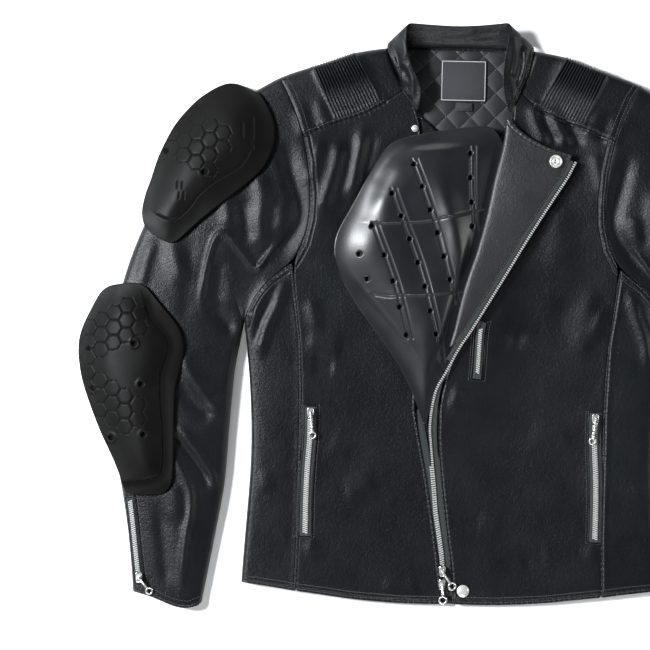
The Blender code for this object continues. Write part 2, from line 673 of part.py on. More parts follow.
def lapel():
    roll = edge(ROLL_LINE, LAPEL_ROWS)
    zip_line = smooth_curve(np.array(ZIP_OPEN)[:7])[0]
    leather_edge = zip_line[:, :2] - across_path(zip_line) * LAPEL_TAPE
    leather_edge[0] = LAPEL_NECK[-1]
    length = shares(leather_edge)
    right = at_lengths((leather_edge, length), np.linspace(0, 1, LAPEL_ROWS + 1))
    edge_height = np.interp(-right[:, 1], -zip_line[:, 1], zip_line[:, 2]) + 0.4
    top = edge(LAPEL_NECK, 6)
    plan = patch(top, np.linspace(roll[-1], right[-1], 7), roll, right)
    down = np.linspace(0, 1, LAPEL_ROWS + 1)
    sheet = []
    for row, share, high in zip(plan, down, edge_height):
        radius = np.interp(share, (0.7, 1), LAPEL_RADIUS)
        foot = np.interp(row[0, 1], LIFTED_UP, LIFTED) - LEATHER
        folded = [(row[0, 0] + LOWER_LEAF, row[0, 1], foot)]
        for turn in np.radians((270, 225, 180, 135, 90)):
            aside, high_up = radius * (1 + math.cos(turn)), radius * (1 + math.sin(turn))
            folded.append((row[0, 0] + aside, row[0, 1], foot + high_up))
        start = np.array([row[0, 0] + radius, row[0, 1]])
        width = np.linalg.norm(row[-1] - start)
        for point in row[1:]:
            along = np.linalg.norm(point - row[0]) / np.linalg.norm(row[-1] - row[0])
            place = start + (row[-1] - start) * along + (point - row[0] - (row[-1] - row[0]) * along)
            height = foot + 2 * radius + (high - foot - 2 * radius) * smooth(along)
            folded.append((*place, height + 1.5 * math.sin(math.pi * along) * min(1, width / 60)))
        sheet.append(folded)
    wall("lapel", np.array(sheet), FACED_LEATHER, BLACK_LEATHER)


def under_leather(up):
    """Height of the top of a tape that runs under the front's edge."""
    return np.interp(up, LIFTED_UP, LIFTED) - LEATHER - SEAM_GAP


CHAIN = 3.4  # width of each half of the chain
CHAIN_HIGH = 2.2
CHAIN_ASIDE = 1.9  # from the middle of the closed zip to the middle of its half
TAPE_WIDE = 14.0
ZIP_FOOT = ((-7.6, -262), (-7, -275), (-6, -290))  # of the tapes, below the chain
RIGHT_TAPE_TOP = ((-36, -70), (-30, -100), (-24, -128))


def main_zip():
    opened = smooth_curve(ZIP_OPEN)
    line = at_lengths(opened, spaced(opened[1][-1], 36))
    upper = line[line[:, 1] > -16]
    ribbon("zip_tape_lapel", upper, -1.5, SEAM_GAP - LAPEL_TAPE, TAPE, ZIP_TAPE, upper[:, 2])
    closed = edge(ZIP_CLOSED, 12)[1:]
    closed = np.column_stack([closed, under_leather(closed[:, 1])])
    foot = np.array(ZIP_FOOT)
    foot = np.column_stack([foot, under_leather(foot[:, 1])])
    whole = np.vstack([line[line[:, 1] < -24], closed, foot])
    leather = smooth_curve(FRONT_EDGE[LEFT])[0]
    beside = np.array([np.interp(-y, -leather[:, 1], leather[:, 0]) - x - 0.6 for x, y, _ in whole])
    wide = np.where(whole[:, 1] > -129, beside, TAPE_WIDE)
    ribbon("zip_tape_left", whole, 0.2, wide, TAPE, ZIP_TAPE, whole[:, 2])
    right = edge(RIGHT_TAPE_TOP, 4)
    right = np.vstack([np.column_stack([right, np.full(len(right), closed[0, 2])]), closed, foot])
    ribbon("zip_tape_right", right, -0.2, -TAPE_WIDE, TAPE, ZIP_TAPE, right[:, 2])
    for name, teeth, way in (("left", np.vstack([line, closed]), 1), ("right", right[: -len(foot)], -1)):
        aside = way * CHAIN_ASIDE
        if way > 0:
            aside = CHAIN_ASIDE * smooth((-60 - teeth[:, 1]) / 60)
        height = teeth[:, 2] + SEAM_GAP + CHAIN_HIGH
        ribbon(f"zip_chain_{name}", teeth, aside - CHAIN / 2, aside + CHAIN / 2, CHAIN_HIGH, NICKEL, height)


# ---- sliders, pull tabs and snaps -------------------------------------------------------------------------------

HELPERS = bpy.data.collections.new("helpers")
bpy.context.scene.collection.children.link(HELPERS)

SLIDER_WIDE, SLIDER_LONG, SLIDER_HIGH = 7.6, 12.0, 3.6
BAR = 1.8  # square bar that the tab turns on
BAR_UP = 3.2  # its middle over the slider
POST_OUT, POST_IN = 3.4, 1.7
EYE_IN, EYE_OUT, EYE_WIDE = 1.6, 2.8, 2.4
TAB_THICK = 2.0
RING_HOLE = 0.6  # of the ring's radius


def frame_at(place, turn, slope=0.0):
    """A frame at a place in millimetres, its X turned about the vertical and then dipped by the slope."""
    turned = Matrix.Rotation(turn, 4, "Z") @ Matrix.Rotation(slope, 4, "Y")
    return Matrix.Translation(Vector(place) * MM) @ turned


def helper(shape, frame):
    """A solid that is joined to another one."""
    mesh = bpy.data.meshes.new("helper")
    shape.to_mesh(mesh)
    shape.free()
    made = bpy.data.objects.new("helper", mesh)
    made.matrix_world = frame
    made.hide_render = True
    made.display_type = "WIRE"
    HELPERS.objects.link(made)
    return made


def join(made, piece):
    union = made.modifiers.new("join", "BOOLEAN")
    union.operation = "UNION"
    union.object = piece


def block(size, middle):
    shape = bmesh.new()
    bmesh.ops.create_cube(shape, size=MM)
    bmesh.ops.scale(shape, vec=size, verts=shape.verts)
    bmesh.ops.translate(shape, vec=Vector(middle) * MM, verts=shape.verts)
    return shape


def prism(outlines, thick):
    """A flat plate about the plane Z = 0: one outline, or an outer and an inner one with as many points."""
    shape = bmesh.new()
    levels = []
    for height in (-thick / 2, thick / 2):
        levels.append([[shape.verts.new(Vector((x, y, height)) * MM) for x, y in line] for line in outlines])
    for ends in levels:
        if len(outlines) == 1:
            shape.faces.new(ends[0])
            continue
        outer, inner = ends
        for k in range(len(outer)):
            shape.faces.new([outer[k - 1], outer[k], inner[k], inner[k - 1]])
    for low, high in zip(*levels):
        for k in range(len(low)):
            shape.faces.new([low[k - 1], low[k], high[k], high[k - 1]])
    bmesh.ops.recalc_face_normals(shape, faces=shape.faces)
    return shape


def circle(radius, count, middle=(0, 0)):
    turns = np.linspace(0, 2 * math.pi, count, endpoint=False)
    return [(middle[0] + radius * math.cos(turn), middle[1] + radius * math.sin(turn)) for turn in turns]


def slider_and_tab(name, place, zip_turn, ring_at, ring_radius, rest):
    """A slider on its zip and the tab that lies from its bar to the ring's middle. Place is the slider's foot."""
    x, y, foot = place
    turn = math.atan2(ring_at[1] - y, ring_at[0] - x)
    reach = math.hypot(ring_at[1] - y, ring_at[0] - x)
    bar = foot + SLIDER_HIGH + BAR_UP
    slider = add_solid(
        f"{name}_slider", block((SLIDER_LONG, SLIDER_WIDE, SLIDER_HIGH), (0, 0, SLIDER_HIGH / 2)), NICKEL
    )
    slider.matrix_world = frame_at(place, zip_turn)
    top = bar + BAR / 2 - foot
    low = SLIDER_HIGH - 0.6
    arch = [(-POST_OUT, low), (-POST_IN, low), (-POST_IN, top - BAR), (POST_IN, top - BAR), (POST_IN, low)]
    arch += [(POST_OUT, low), (POST_OUT, top), (-POST_OUT, top)]
    upright = Matrix.Rotation(math.pi / 2, 4, "Z") @ Matrix.Rotation(math.pi / 2, 4, "X")
    join(slider, helper(prism([arch], BAR), frame_at(place, turn) @ upright))
    slope = math.atan2(bar - rest - TAB_THICK / 2, reach + ring_radius)
    eye = prism([circle(EYE_OUT, 12), circle(EYE_IN, 12)], EYE_WIDE)
    bmesh.ops.rotate(eye, matrix=Matrix.Rotation(math.pi / 2, 3, "X"), verts=eye.verts)
    frame = frame_at((x, y, bar), turn, slope)
    tab = add_solid(f"{name}_pull", eye, NICKEL)
    tab.matrix_world = frame
    ring_middle = reach / math.cos(slope)
    start, end = (EYE_IN + EYE_OUT) / 2, ring_middle - ring_radius * 0.7
    join(tab, helper(block((end - start, EYE_WIDE, TAB_THICK), ((start + end) / 2, 0, 0)), frame))
    ring = [circle(radius, 14, (ring_middle, 0)) for radius in (ring_radius, ring_radius * RING_HOLE)]
    join(tab, helper(prism(ring, TAB_THICK), frame))


def button(name, place, radius, high, material=NICKEL):
    shape = bmesh.new()
    bmesh.ops.create_cone(
        shape, cap_ends=True, segments=20, radius1=radius * MM, radius2=radius * 0.8 * MM, depth=high * MM
    )
    made = add_solid(name, shape, material)
    made.location = (Vector(place) + Vector((0, 0, high / 2))) * MM


def snaps():
    for name, x, y, under, radius in (
        ("snap_socket", 113, 223, "lapel", 7.5),
        ("snap_cap", 17, -283, "front_left", 7.2),
        ("snap_stud", -51.8, 259, "front_right", 4.8),
    ):
        foot = rest_height(upper_faces(under), np.array((x, y)), radius) + SEAM_GAP
        button(name, (x, y, foot), radius, 2.6)


POCKET_ZIP = ((167, -70), (167, -107), (169, -141), (170, -175), (170, -222))
CUFF_ZIP = ((376, -181), (372, -209), (370, -225), (367, -250), (364, -272), (363, -280))
CHEST_ZIP = ((32, 34), (30, 22), (29, 4), (28, -21), (27, -33))
# name, path, tape's width, chain's width, and how far the chain stops short of the tape's start and end
LAID_ZIPS = (("pocket", POCKET_ZIP, 13.0, 6.0, 14.0, 4.0), ("cuff", CUFF_ZIP, 9.0, 5.0, 4.0, 13.5))
LAID_SLIDERS = ((167, -77), (363.5, -274))
LAID_RINGS = ((164, -103), (351, -290))  # where the middle of the tab's ring lies
LAID_RING = 4.5


def laid_zip(name, path, tree, tape, chain, start, end):
    """A zip that lies on its panel: a stiff tape with the closed chain on it."""
    curve = smooth_curve(path)
    length = curve[1][-1]
    stations = spaced(length, 10)
    line = at_lengths(curve, stations)
    high = np.array([rest_height(tree, point, tape / 2 + 1) for point in line]) + SEAM_GAP + TAPE
    ribbon(f"{name}_tape", line, -tape / 2, tape / 2, TAPE, ZIP_TAPE, high)
    over = np.unique(np.clip(stations, start, length - end))
    chain_high = np.interp(over, stations, high) + SEAM_GAP + CHAIN_HIGH
    ribbon(f"{name}_chain", at_lengths(curve, over), -chain / 2, chain / 2, CHAIN_HIGH, NICKEL, chain_high)


def laid_zips():
    for side in (RIGHT, LEFT):
        word = SIDE_NAME[side]
        panels = [f"{panel}_{word}" for panel in ("front", "side_front", "sleeve_upper")]
        for (name, path, *sizes), slider_at, ring_at in zip(LAID_ZIPS, LAID_SLIDERS, LAID_RINGS):
            under = upper_faces(*panels)
            name = f"{name}_zip_{word}"
            laid_zip(name, np.array(path) * (side, 1), under, *sizes)
            place = np.array(slider_at) * (side, 1)
            foot = rest_height(under, place, 7) + TAPE + 2 * SEAM_GAP
            ring = np.array(ring_at) * (side, 1)
            over = upper_faces(*panels, f"{name}_tape", f"{name}_chain")
            rest = rest_height(over, ring, LAID_RING) + SEAM_GAP
            slider_and_tab(name, (*place, foot), math.pi / 2, ring, LAID_RING, rest)
    laid_zip("chest_zip", np.array(CHEST_ZIP), upper_faces("front_left"), 10.0, 4.5, 9.0, 7.0)


def main_sliders():
    fronts = upper_faces("front_right", "front_left", "zip_tape_left", "zip_tape_right")
    for name, place, ring in (("upper", (-8, -260), (4, -277.5)), ("lower", (-8, -275.5), (-6.5, -294))):
        foot = rest_height(fronts, np.array(place), 7) + SEAM_GAP
        rest = rest_height(fronts, np.array(ring), 7) + SEAM_GAP
        slider_and_tab(f"zip_{name}", (*place, foot), math.pi / 2, ring, 5.2, rest)


# ---- the protectors ---------------------------------------------------------------------------------------------

# Each outline: top, right, bottom and left edge as seen from above.
SHOULDER_PAD = (
    ((-310, 286), (-290, 300), (-267, 308), (-234, 295)),
    ((-234, 295), (-218, 267), (-215, 243), (-219, 227), (-230, 205), (-266, 174), (-300, 146), (-328, 119)),
    ((-366, 137), (-354, 126), (-337, 118), (-328, 119)),
    ((-310, 286), (-331, 262), (-343, 240), (-353, 217), (-360, 192), (-367, 172), (-370, 150), (-366, 137)),
)
ELBOW_PAD = (
    ((-418, 57), (-408, 66), (-393, 69), (-373, 71), (-360, 65)),
    ((-360, 65), (-346, 47), (-333, 33), (-321, 18), (-316, 0), (-321, -38), (-326, -53), (-326, -150), (-329, -169)),
    ((-384, -170), (-380, -176), (-362, -177), (-337, -174), (-329, -169)),
    (
        (-418, 57), (-438, 17), (-442, -3), (-441, -20), (-435, -49), (-414, -102), (-401, -127), (-389, -153),
        (-384, -170),
    ),
)
CHEST_PAD = (
    ((-79, 242), (-69, 246), (-42, 253), (-14, 258), (10, 262), (36, 264), (46, 254)),
    (
        (46, 254), (54, 240), (56, 215), (52, 185), (46, 150), (38, 115), (28, 85), (20, 50), (12, 15),
        (-10, -35), (-26, -66), (-30, -84),
    ),
    ((-35, -86), (-32, -87), (-30, -84)),
    (
        (-79, 242), (-95, 221), (-126, 162), (-138, 141), (-143, 128), (-144, 110), (-141, 94), (-126, 67),
        (-112, 45), (-70, -11), (-46, -55), (-35, -86),
    ),
)
PAD_RIM = 5.0
PAD_FALL = 0.45  # how steeply a stiff pad may bend down beyond the sleeve


def pad(name, outline, columns, rows, under_at, rise, run, material, most_at=None):
    """A stiff padded plate over the jacket: rim PAD_RIM thick, thicker by rise at run inside its outline."""
    top, right, bottom, left = (edge(points, count) for points, count in zip(outline, (columns, rows) * 2))
    plan = patch(top, bottom, left, right)
    under = np.array([[under_at(point) for point in row] for row in plan]) + REST_GAP
    outer_line = np.vstack([top, right[1:], bottom[-2::-1], left[-2::-1]])
    high = under + PAD_RIM + rise * smooth((distance(plan, outer_line) - 6) / run)
    if most_at:
        high = np.minimum(high, most_at(plan))
    return closed_body(name, np.dstack([plan, high]), np.dstack([plan, under]), material)


def under_lapel(plan):
    """The chest pad stays this low, so that the rolled front passes over its edge."""
    roll = np.array(ROLL_LINE, float)
    inside = np.interp(-plan[..., 1], -roll[:, 1], roll[:, 0]) - 4 - plan[..., 0]
    return LIFTED[-2] - LEATHER - 0.8 + 0.6 * np.maximum(0, inside)


def protectors():
    arm = upper_faces("sleeve_upper_right", "side_front_right", "front_right", "yoke_right")
    front = upper_faces("front_right", "zip_chain_right")

    def on_arm(plan):
        return rest_height(arm, plan, 60, PAD_FALL)

    def on_chest(plan):
        return rest_height(front, plan, 12, least=float(table_level(np.abs(plan))))

    pad("shoulder_pad", SHOULDER_PAD, 8, 12, on_arm, 11, 38, MATTE_PAD)
    pad("elbow_pad", ELBOW_PAD, 7, 14, on_arm, 11, 34, MATTE_PAD)
    pad("chest_pad", CHEST_PAD, 10, 20, on_chest, 9, 36, GLOSS_PAD, most_at=under_lapel)


collar()
lining()
labels()
wind_flap()
lapel()
main_zip()
main_sliders()
snaps()
laid_zips()
protectors()
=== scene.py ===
"""A black leather motorcycle jacket laid flat, its left front rolled open over its armour."""
import math

import bmesh
import bpy
import numpy as np
from mathutils import Matrix, Vector, noise
from mathutils.bvhtree import BVHTree
from mathutils.kdtree import KDTree


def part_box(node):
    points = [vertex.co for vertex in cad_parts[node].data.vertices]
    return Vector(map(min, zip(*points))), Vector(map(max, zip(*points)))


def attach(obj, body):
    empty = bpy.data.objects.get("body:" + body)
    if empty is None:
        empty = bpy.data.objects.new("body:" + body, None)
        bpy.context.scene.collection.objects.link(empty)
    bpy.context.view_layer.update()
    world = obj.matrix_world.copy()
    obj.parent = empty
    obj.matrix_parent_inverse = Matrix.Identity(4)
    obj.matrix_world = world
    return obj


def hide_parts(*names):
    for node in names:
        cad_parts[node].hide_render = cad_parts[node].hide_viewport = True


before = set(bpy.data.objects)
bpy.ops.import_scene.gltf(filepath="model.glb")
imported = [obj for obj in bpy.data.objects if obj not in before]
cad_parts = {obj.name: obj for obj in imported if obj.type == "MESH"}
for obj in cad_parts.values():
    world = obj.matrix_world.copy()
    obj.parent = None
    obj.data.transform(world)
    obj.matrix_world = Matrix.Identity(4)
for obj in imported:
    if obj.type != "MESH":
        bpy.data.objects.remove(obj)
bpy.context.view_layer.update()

# ==== Back panel ==================================================================================
# The one big panel that everything else is sewn to, cut from full-grain cowhide dyed black, 2 mm
# thick with its lining. It lies flat on the table, and its sides turn up round the fold to the
# side seams.

MM = 0.001


def node_in(material, kind, **values):
    """Adds a shader node, with its inputs (_ for a space) and its other settings by name."""
    made = material.node_tree.nodes.new(kind)
    for name, value in values.items():
        socket = made.inputs.get(name.replace("_", " "))
        if socket is None:
            setattr(made, name, value)
        elif isinstance(value, bpy.types.NodeSocket):
            material.node_tree.links.new(value, socket)
        else:
            socket.default_value = value
    return made


def maths(material, operation, *values):
    made = material.node_tree.nodes.new("ShaderNodeMath")
    made.operation = operation
    for socket, value in zip(made.inputs, values):
        if isinstance(value, bpy.types.NodeSocket):
            material.node_tree.links.new(value, socket)
        else:
            socket.default_value = value
    return made.outputs[0]


def ramped(material, value, start, end, low=0.0, high=1.0):
    made = node_in(
        material, "ShaderNodeMapRange", Value=value, From_Min=start, From_Max=end, To_Min=low,
        To_Max=high,
    )
    return made.outputs["Result"]


def new_material(name, colour, roughness, **values):
    material = bpy.data.materials.new(name)
    material.use_nodes = True
    shader = material.node_tree.nodes["Principled BSDF"]
    shader.inputs["Base Color"].default_value = (*colour, 1)
    shader.inputs["Roughness"].default_value = roughness
    for key, value in values.items():
        shader.inputs[key.replace("_", " ")].default_value = value
    return material, shader


def wire(material, start, end):
    material.node_tree.links.new(start, end)


def object_place(material):
    return node_in(material, "ShaderNodeTexCoord").outputs["Object"]


def number_on(material, name):
    return node_in(material, "ShaderNodeAttribute", attribute_name=name).outputs["Fac"]


def clouds(material, place, scale, detail=3.0, rough=0.5, distortion=0.0):
    made = node_in(
        material, "ShaderNodeTexNoise", Vector=place, Scale=scale, Detail=detail, Roughness=rough,
        Distortion=distortion,
    )
    return made.outputs["Fac"]


def tinted(material, place, socket, dark, light, scale):
    """Uneven dye: a colour that drifts between two tones."""
    ramp = node_in(material, "ShaderNodeValToRGB", Fac=clouds(material, place, scale, 4.0))
    ramp.color_ramp.elements[0].position = 0.35
    ramp.color_ramp.elements[0].color = (*dark, 1)
    ramp.color_ramp.elements[1].position = 0.65
    ramp.color_ramp.elements[1].color = (*light, 1)
    wire(material, ramp.outputs["Color"], socket)


def relief(material, height, depth, under=None, strength=1.0):
    bump = node_in(material, "ShaderNodeBump", Height=height, Distance=depth, Strength=strength)
    if under:
        wire(material, under.outputs["Normal"], bump.inputs["Normal"])
    return bump


PUCKER = 6.2  # mm between the small gathers of a sewn edge
ROW_IN = 2.4  # mm from a seam to its first row of stitches
ROWS_APART = 5.6  # mm between the rows of a seam that is sewn twice
WANDER = 0.0016  # how far the pebbles stray from an even net
BLOTCHES, CREASES, SHINE_PATCHES = 7.0, 30.0, 24.0  # of the hide, to a metre


def leather(
    name, dark, light, smooth_at, rough_at, pebble=1.5 * MM, depth=0.24 * MM, crease=0.07 * MM,
    shine=0.22,
):
    """Full-grain hide: pebbles, hair creases between them, and gathers along its seams."""
    material, shader = new_material(name, light, rough_at, Specular_IOR_Level=shine)
    place = object_place(material)
    drift = node_in(material, "ShaderNodeTexNoise", Vector=place, Scale=0.25 / pebble, Detail=2.0)
    moved = node_in(material, "ShaderNodeMix", data_type="VECTOR")
    moved.inputs["Factor"].default_value = WANDER
    wire(material, place, moved.inputs[4])  # 4 and 5 are its two vectors
    wire(material, drift.outputs["Color"], moved.inputs[5])
    beads = node_in(
        material, "ShaderNodeTexVoronoi", Vector=moved.outputs[1], Scale=1 / pebble, feature="F1"
    )
    fine = clouds(material, place, 1.6 / pebble, 4.0, 0.6)
    swell = clouds(material, place, 0.4 / pebble, 2.0)
    fine = maths(material, "MULTIPLY_ADD", swell, 1.5, fine)
    pebbles = maths(material, "MULTIPLY", beads.outputs["Distance"], 0.7)
    grain = maths(material, "SUBTRACT", fine, pebbles)
    hairs = clouds(material, place, CREASES, 8.0, 0.66, 0.8)
    line = maths(material, "ABSOLUTE", maths(material, "SUBTRACT", hairs, 0.5))
    creased = relief(material, ramped(material, line, 0.0, 0.12), crease, strength=0.5)
    seam, seam_wide, run = (number_on(material, word) for word in ("seam", "seam_wide", "run"))
    from_rows = [
        maths(material, "ABSOLUTE", maths(material, "SUBTRACT", away, ROW_IN))
        for away in (seam, seam_wide)
    ]
    sunk = ramped(material, maths(material, "MINIMUM", *from_rows), 0.2, 1.6)
    wave = maths(material, "SINE", maths(material, "MULTIPLY", run, 2 * math.pi / PUCKER))
    gathers = maths(material, "MULTIPLY", wave, ramped(material, seam, 0.5, 7.0, 1.0, 0.0))
    sewn_height = maths(material, "MULTIPLY_ADD", gathers, 0.3, sunk)
    sewn = relief(material, sewn_height, 0.6 * MM, under=creased)
    grained = relief(material, grain, depth, under=sewn)
    wire(material, grained.outputs["Normal"], shader.inputs["Normal"])
    tinted(material, place, shader.inputs["Base Color"], dark, light, BLOTCHES)
    finish = ramped(material, clouds(material, place, SHINE_PATCHES), 0.3, 0.7, smooth_at, rough_at)
    wire(material, finish, shader.inputs["Roughness"])
    return material


SHELL = leather("shell_leather", (0.0016, 0.0021, 0.0028), (0.0036, 0.0046, 0.006), 0.36, 0.46)
SHARP = math.radians(55)  # faces that meet at more than this have an edge between them


def refined(node, name, level, material, crease=0.55, top_again=False):
    """A piece made from a node's solid, with its edges rounded and its surface smooth."""
    shape = bmesh.new()
    shape.from_mesh(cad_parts[node].data)
    bmesh.ops.remove_doubles(shape, verts=shape.verts, dist=2e-5)
    bmesh.ops.join_triangles(
        shape, faces=shape.faces, angle_face_threshold=SHARP, angle_shape_threshold=math.pi
    )
    weight = shape.edges.layers.float.new("crease_edge")
    for edge in shape.edges:
        if len(edge.link_faces) == 2 and edge.calc_face_angle() > SHARP:
            edge[weight] = crease
    mesh = bpy.data.meshes.new(name)
    shape.to_mesh(mesh)
    shape.free()
    piece = bpy.data.objects.new(name, mesh)
    bpy.context.scene.collection.objects.link(piece)
    soft = piece.modifiers.new("soft", "SUBSURF")
    soft.levels = soft.render_levels = level
    seen = piece.evaluated_get(bpy.context.evaluated_depsgraph_get())
    made = bpy.data.meshes.new_from_object(seen)
    piece.modifiers.clear()
    if top_again:
        finer = bmesh.new()
        finer.from_mesh(made)
        upper = {edge for face in finer.faces if face.normal.z > 0.3 for edge in face.edges}
        bmesh.ops.subdivide_edges(finer, edges=list(upper), cuts=1, use_grid_fill=True)
        finer.to_mesh(made)
        finer.free()
    piece.data = made
    made.name = name
    made.materials.clear()
    made.materials.append(material)
    made.shade_smooth()
    return piece


def points_of(piece):
    found = np.empty(len(piece.data.vertices) * 3)
    piece.data.vertices.foreach_get("co", found)
    return found.reshape(-1, 3)


def set_number(piece, name, values):
    layer = piece.data.attributes.new(name, "FLOAT", "POINT")
    layer.data.foreach_set("value", np.asarray(values, np.float32))


def jacket_piece(piece, node):
    """A piece that stands for a node of the jacket itself: the node is hidden, the piece hung on
    the jacket.
    """
    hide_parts(node)
    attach(piece, "jacket")
    return piece


def beside(plan, line):
    """Distance to a line, its side (left of the line's run is +), and how far along it."""
    line = np.asarray(line, float)
    start, run = line[:-1], np.diff(line, axis=0)
    length = np.linalg.norm(run, axis=1)
    before = np.concatenate([[0], np.cumsum(length)])
    best = np.full(len(plan), 1e9)
    side, along = np.zeros(len(plan)), np.zeros(len(plan))
    for k in range(len(run)):
        offset = plan - start[k]
        at = np.clip(offset @ run[k] / length[k] ** 2, 0, 1)
        away = offset - at[:, None] * run[k]
        distance = np.linalg.norm(away, axis=1)
        near = distance < best
        best = np.where(near, distance, best)
        turn = run[k, 0] * offset[:, 1] - run[k, 1] * offset[:, 0]
        side = np.where(near, np.sign(turn), side)
        along = np.where(near, before[k] + at * length[k], along)
    return best, side, along


FAR = 60.0  # mm, where no seam is near


def mark_seams(piece, single=(), double=()):
    """Writes on the leather how far it is from its seams, in mm, for the stitching's grooves."""
    plan = points_of(piece)[:, :2]
    near, wide, run = (np.full(len(plan), value) for value in (FAR, FAR, 0.0))
    for twice, lines in ((False, single), (True, double)):
        for line in lines:
            away, _, along = beside(plan, np.array(line) * MM)
            away, along = away / MM, along / MM
            run = np.where(away < near, along, run)
            near = np.minimum(near, away)
            if twice:
                wide = np.minimum(wide, np.abs(away - ROWS_APART))
    for name, values in (("seam", near), ("seam_wide", wide), ("run", run)):
        set_number(piece, name, values)


def mirrored(line):
    return [(-x, *rest) for x, *rest in line]


ARMHOLE = (
    (213, 315), (202, 299), (191, 273), (183, 248), (176, 214), (173, 180), (174, 150),
    (180, 122), (192, 99), (206, 88), (220, 78), (232, 65), (242, 47), (247, 26),
)
HEM = (
    (244, -278), (220, -281), (198, -284), (179, -287), (145, -291), (115, -295), (56, -299),
    (1, -299),
)
BACK_NECK = ((-88, 353), (-82, 357.5), (-60, 359), (0, 360), (60, 359), (82, 357.5), (88, 353))
back = jacket_piece(refined("back", "back_panel", 2, SHELL), "back")
double = [flip(line) for flip in (mirrored, list) for line in (ARMHOLE, HEM)]
mark_seams(back, [BACK_NECK], double)

# ==== Sleeves and fronts ==========================================================================
# The upper layer, cut from the same hide: yokes with padded ribs at the shoulders, fronts, side
# fronts and sleeves. It is sewn to the back round its edges and drapes over it in long soft folds,
# which pull from the armholes, elbows and rolled front.

THETA = math.atan2(10.6, 472)  # how far the jacket is turned in the photograph
GRID_STEP = 1.18  # mm to a step of the photograph's grid
PICTURE_SCALE = GRID_STEP * MM
GRID_MIDDLE = (455, 350)
MIDDLE_ASIDE = 1.93 * MM


def smooth(value):
    value = np.clip(value, 0, 1)
    return value * value * (3 - 2 * value)


def spot(across, down):
    """Where a place in the photograph's 650 by 650 grid lies on the jacket, in metres."""
    x = (across - GRID_MIDDLE[0]) * PICTURE_SCALE + MIDDLE_ASIDE
    y = (GRID_MIDDLE[1] - down) * PICTURE_SCALE
    turn_x, turn_y = math.cos(THETA), math.sin(THETA)
    return x * turn_x - y * turn_y, x * turn_y + y * turn_x


def curved(points, steps=8):
    """More points on a smooth curve through the given ones."""
    points = np.array(points, float)
    guides = np.vstack([2 * points[0] - points[1], points, 2 * points[-1] - points[-2]])
    t = np.linspace(0, 1, steps, endpoint=False)[:, None]
    runs = []
    for before, start, end, after in zip(guides, guides[1:], guides[2:], guides[3:]):
        bend = (2 * before - 5 * start + 4 * end - after) * t**2
        twist = (3 * start - before - 3 * end + after) * t**3
        runs.append(start + 0.5 * ((end - before) * t + bend + twist))
    return np.vstack(runs + [points[-1:]])


# Folds: height in mm (a hollow is below zero), half width in mm on the line's left and right, and
# the line in the photograph's grid.
SLEEVE_FOLDS = (
    (4.6, 3.3, 2.6, (
        (205, 312), (203, 296), (207, 272), (212, 251), (217, 239), (223, 234), (231, 239),
        (242, 253), (253, 267), (259, 268), (266, 260), (276, 246), (286, 235),
    )),
    (-2.6, 9, 15, ((222, 256), (219, 278), (217, 305))),
    (3.6, 10, 9, ((223, 188), (229, 212), (230, 230))),
    (4.0, 9, 9, ((258, 172), (263, 200), (261, 225), (263, 250))),
    (2.4, 8, 7, ((280, 205), (281, 220), (278, 234))),
    (-3.0, 9, 9, ((243, 200), (246, 222), (250, 244))),
    (-6.0, 10, 8, ((284, 140), (291, 172), (301, 214), (287, 243), (268, 262))),
    (3.8, 12, 10, ((171, 234), (176, 258), (184, 286))),
    (2.8, 6, 9, ((157, 238), (148, 262), (142, 290))),
    (-1.4, 9, 10, ((190, 240), (191, 270), (188, 300), (186, 325))),
    (4.6, 12, 7, ((182, 350), (190, 372), (204, 393), (219, 410))),
    (-4.0, 8, 10, ((182, 386), (196, 402), (214, 418))),
    (-3.4, 7, 7, ((212, 306), (226, 322), (242, 336))),
    (3.6, 5, 6, ((176, 424), (190, 441), (208, 467), (222, 492))),
    (-4.4, 5, 5, ((171, 431), (181, 440), (197, 461), (213, 485))),
    (3.8, 4, 5, (
        (166, 450), (176, 459), (187, 478), (192, 492), (192, 512), (188, 530), (184, 560),
        (182, 592),
    )),
    (2.4, 12, 12, ((174, 480), (176, 500), (176, 520))),
    (-2.2, 8, 8, ((160, 500), (164, 540), (168, 585))),
)
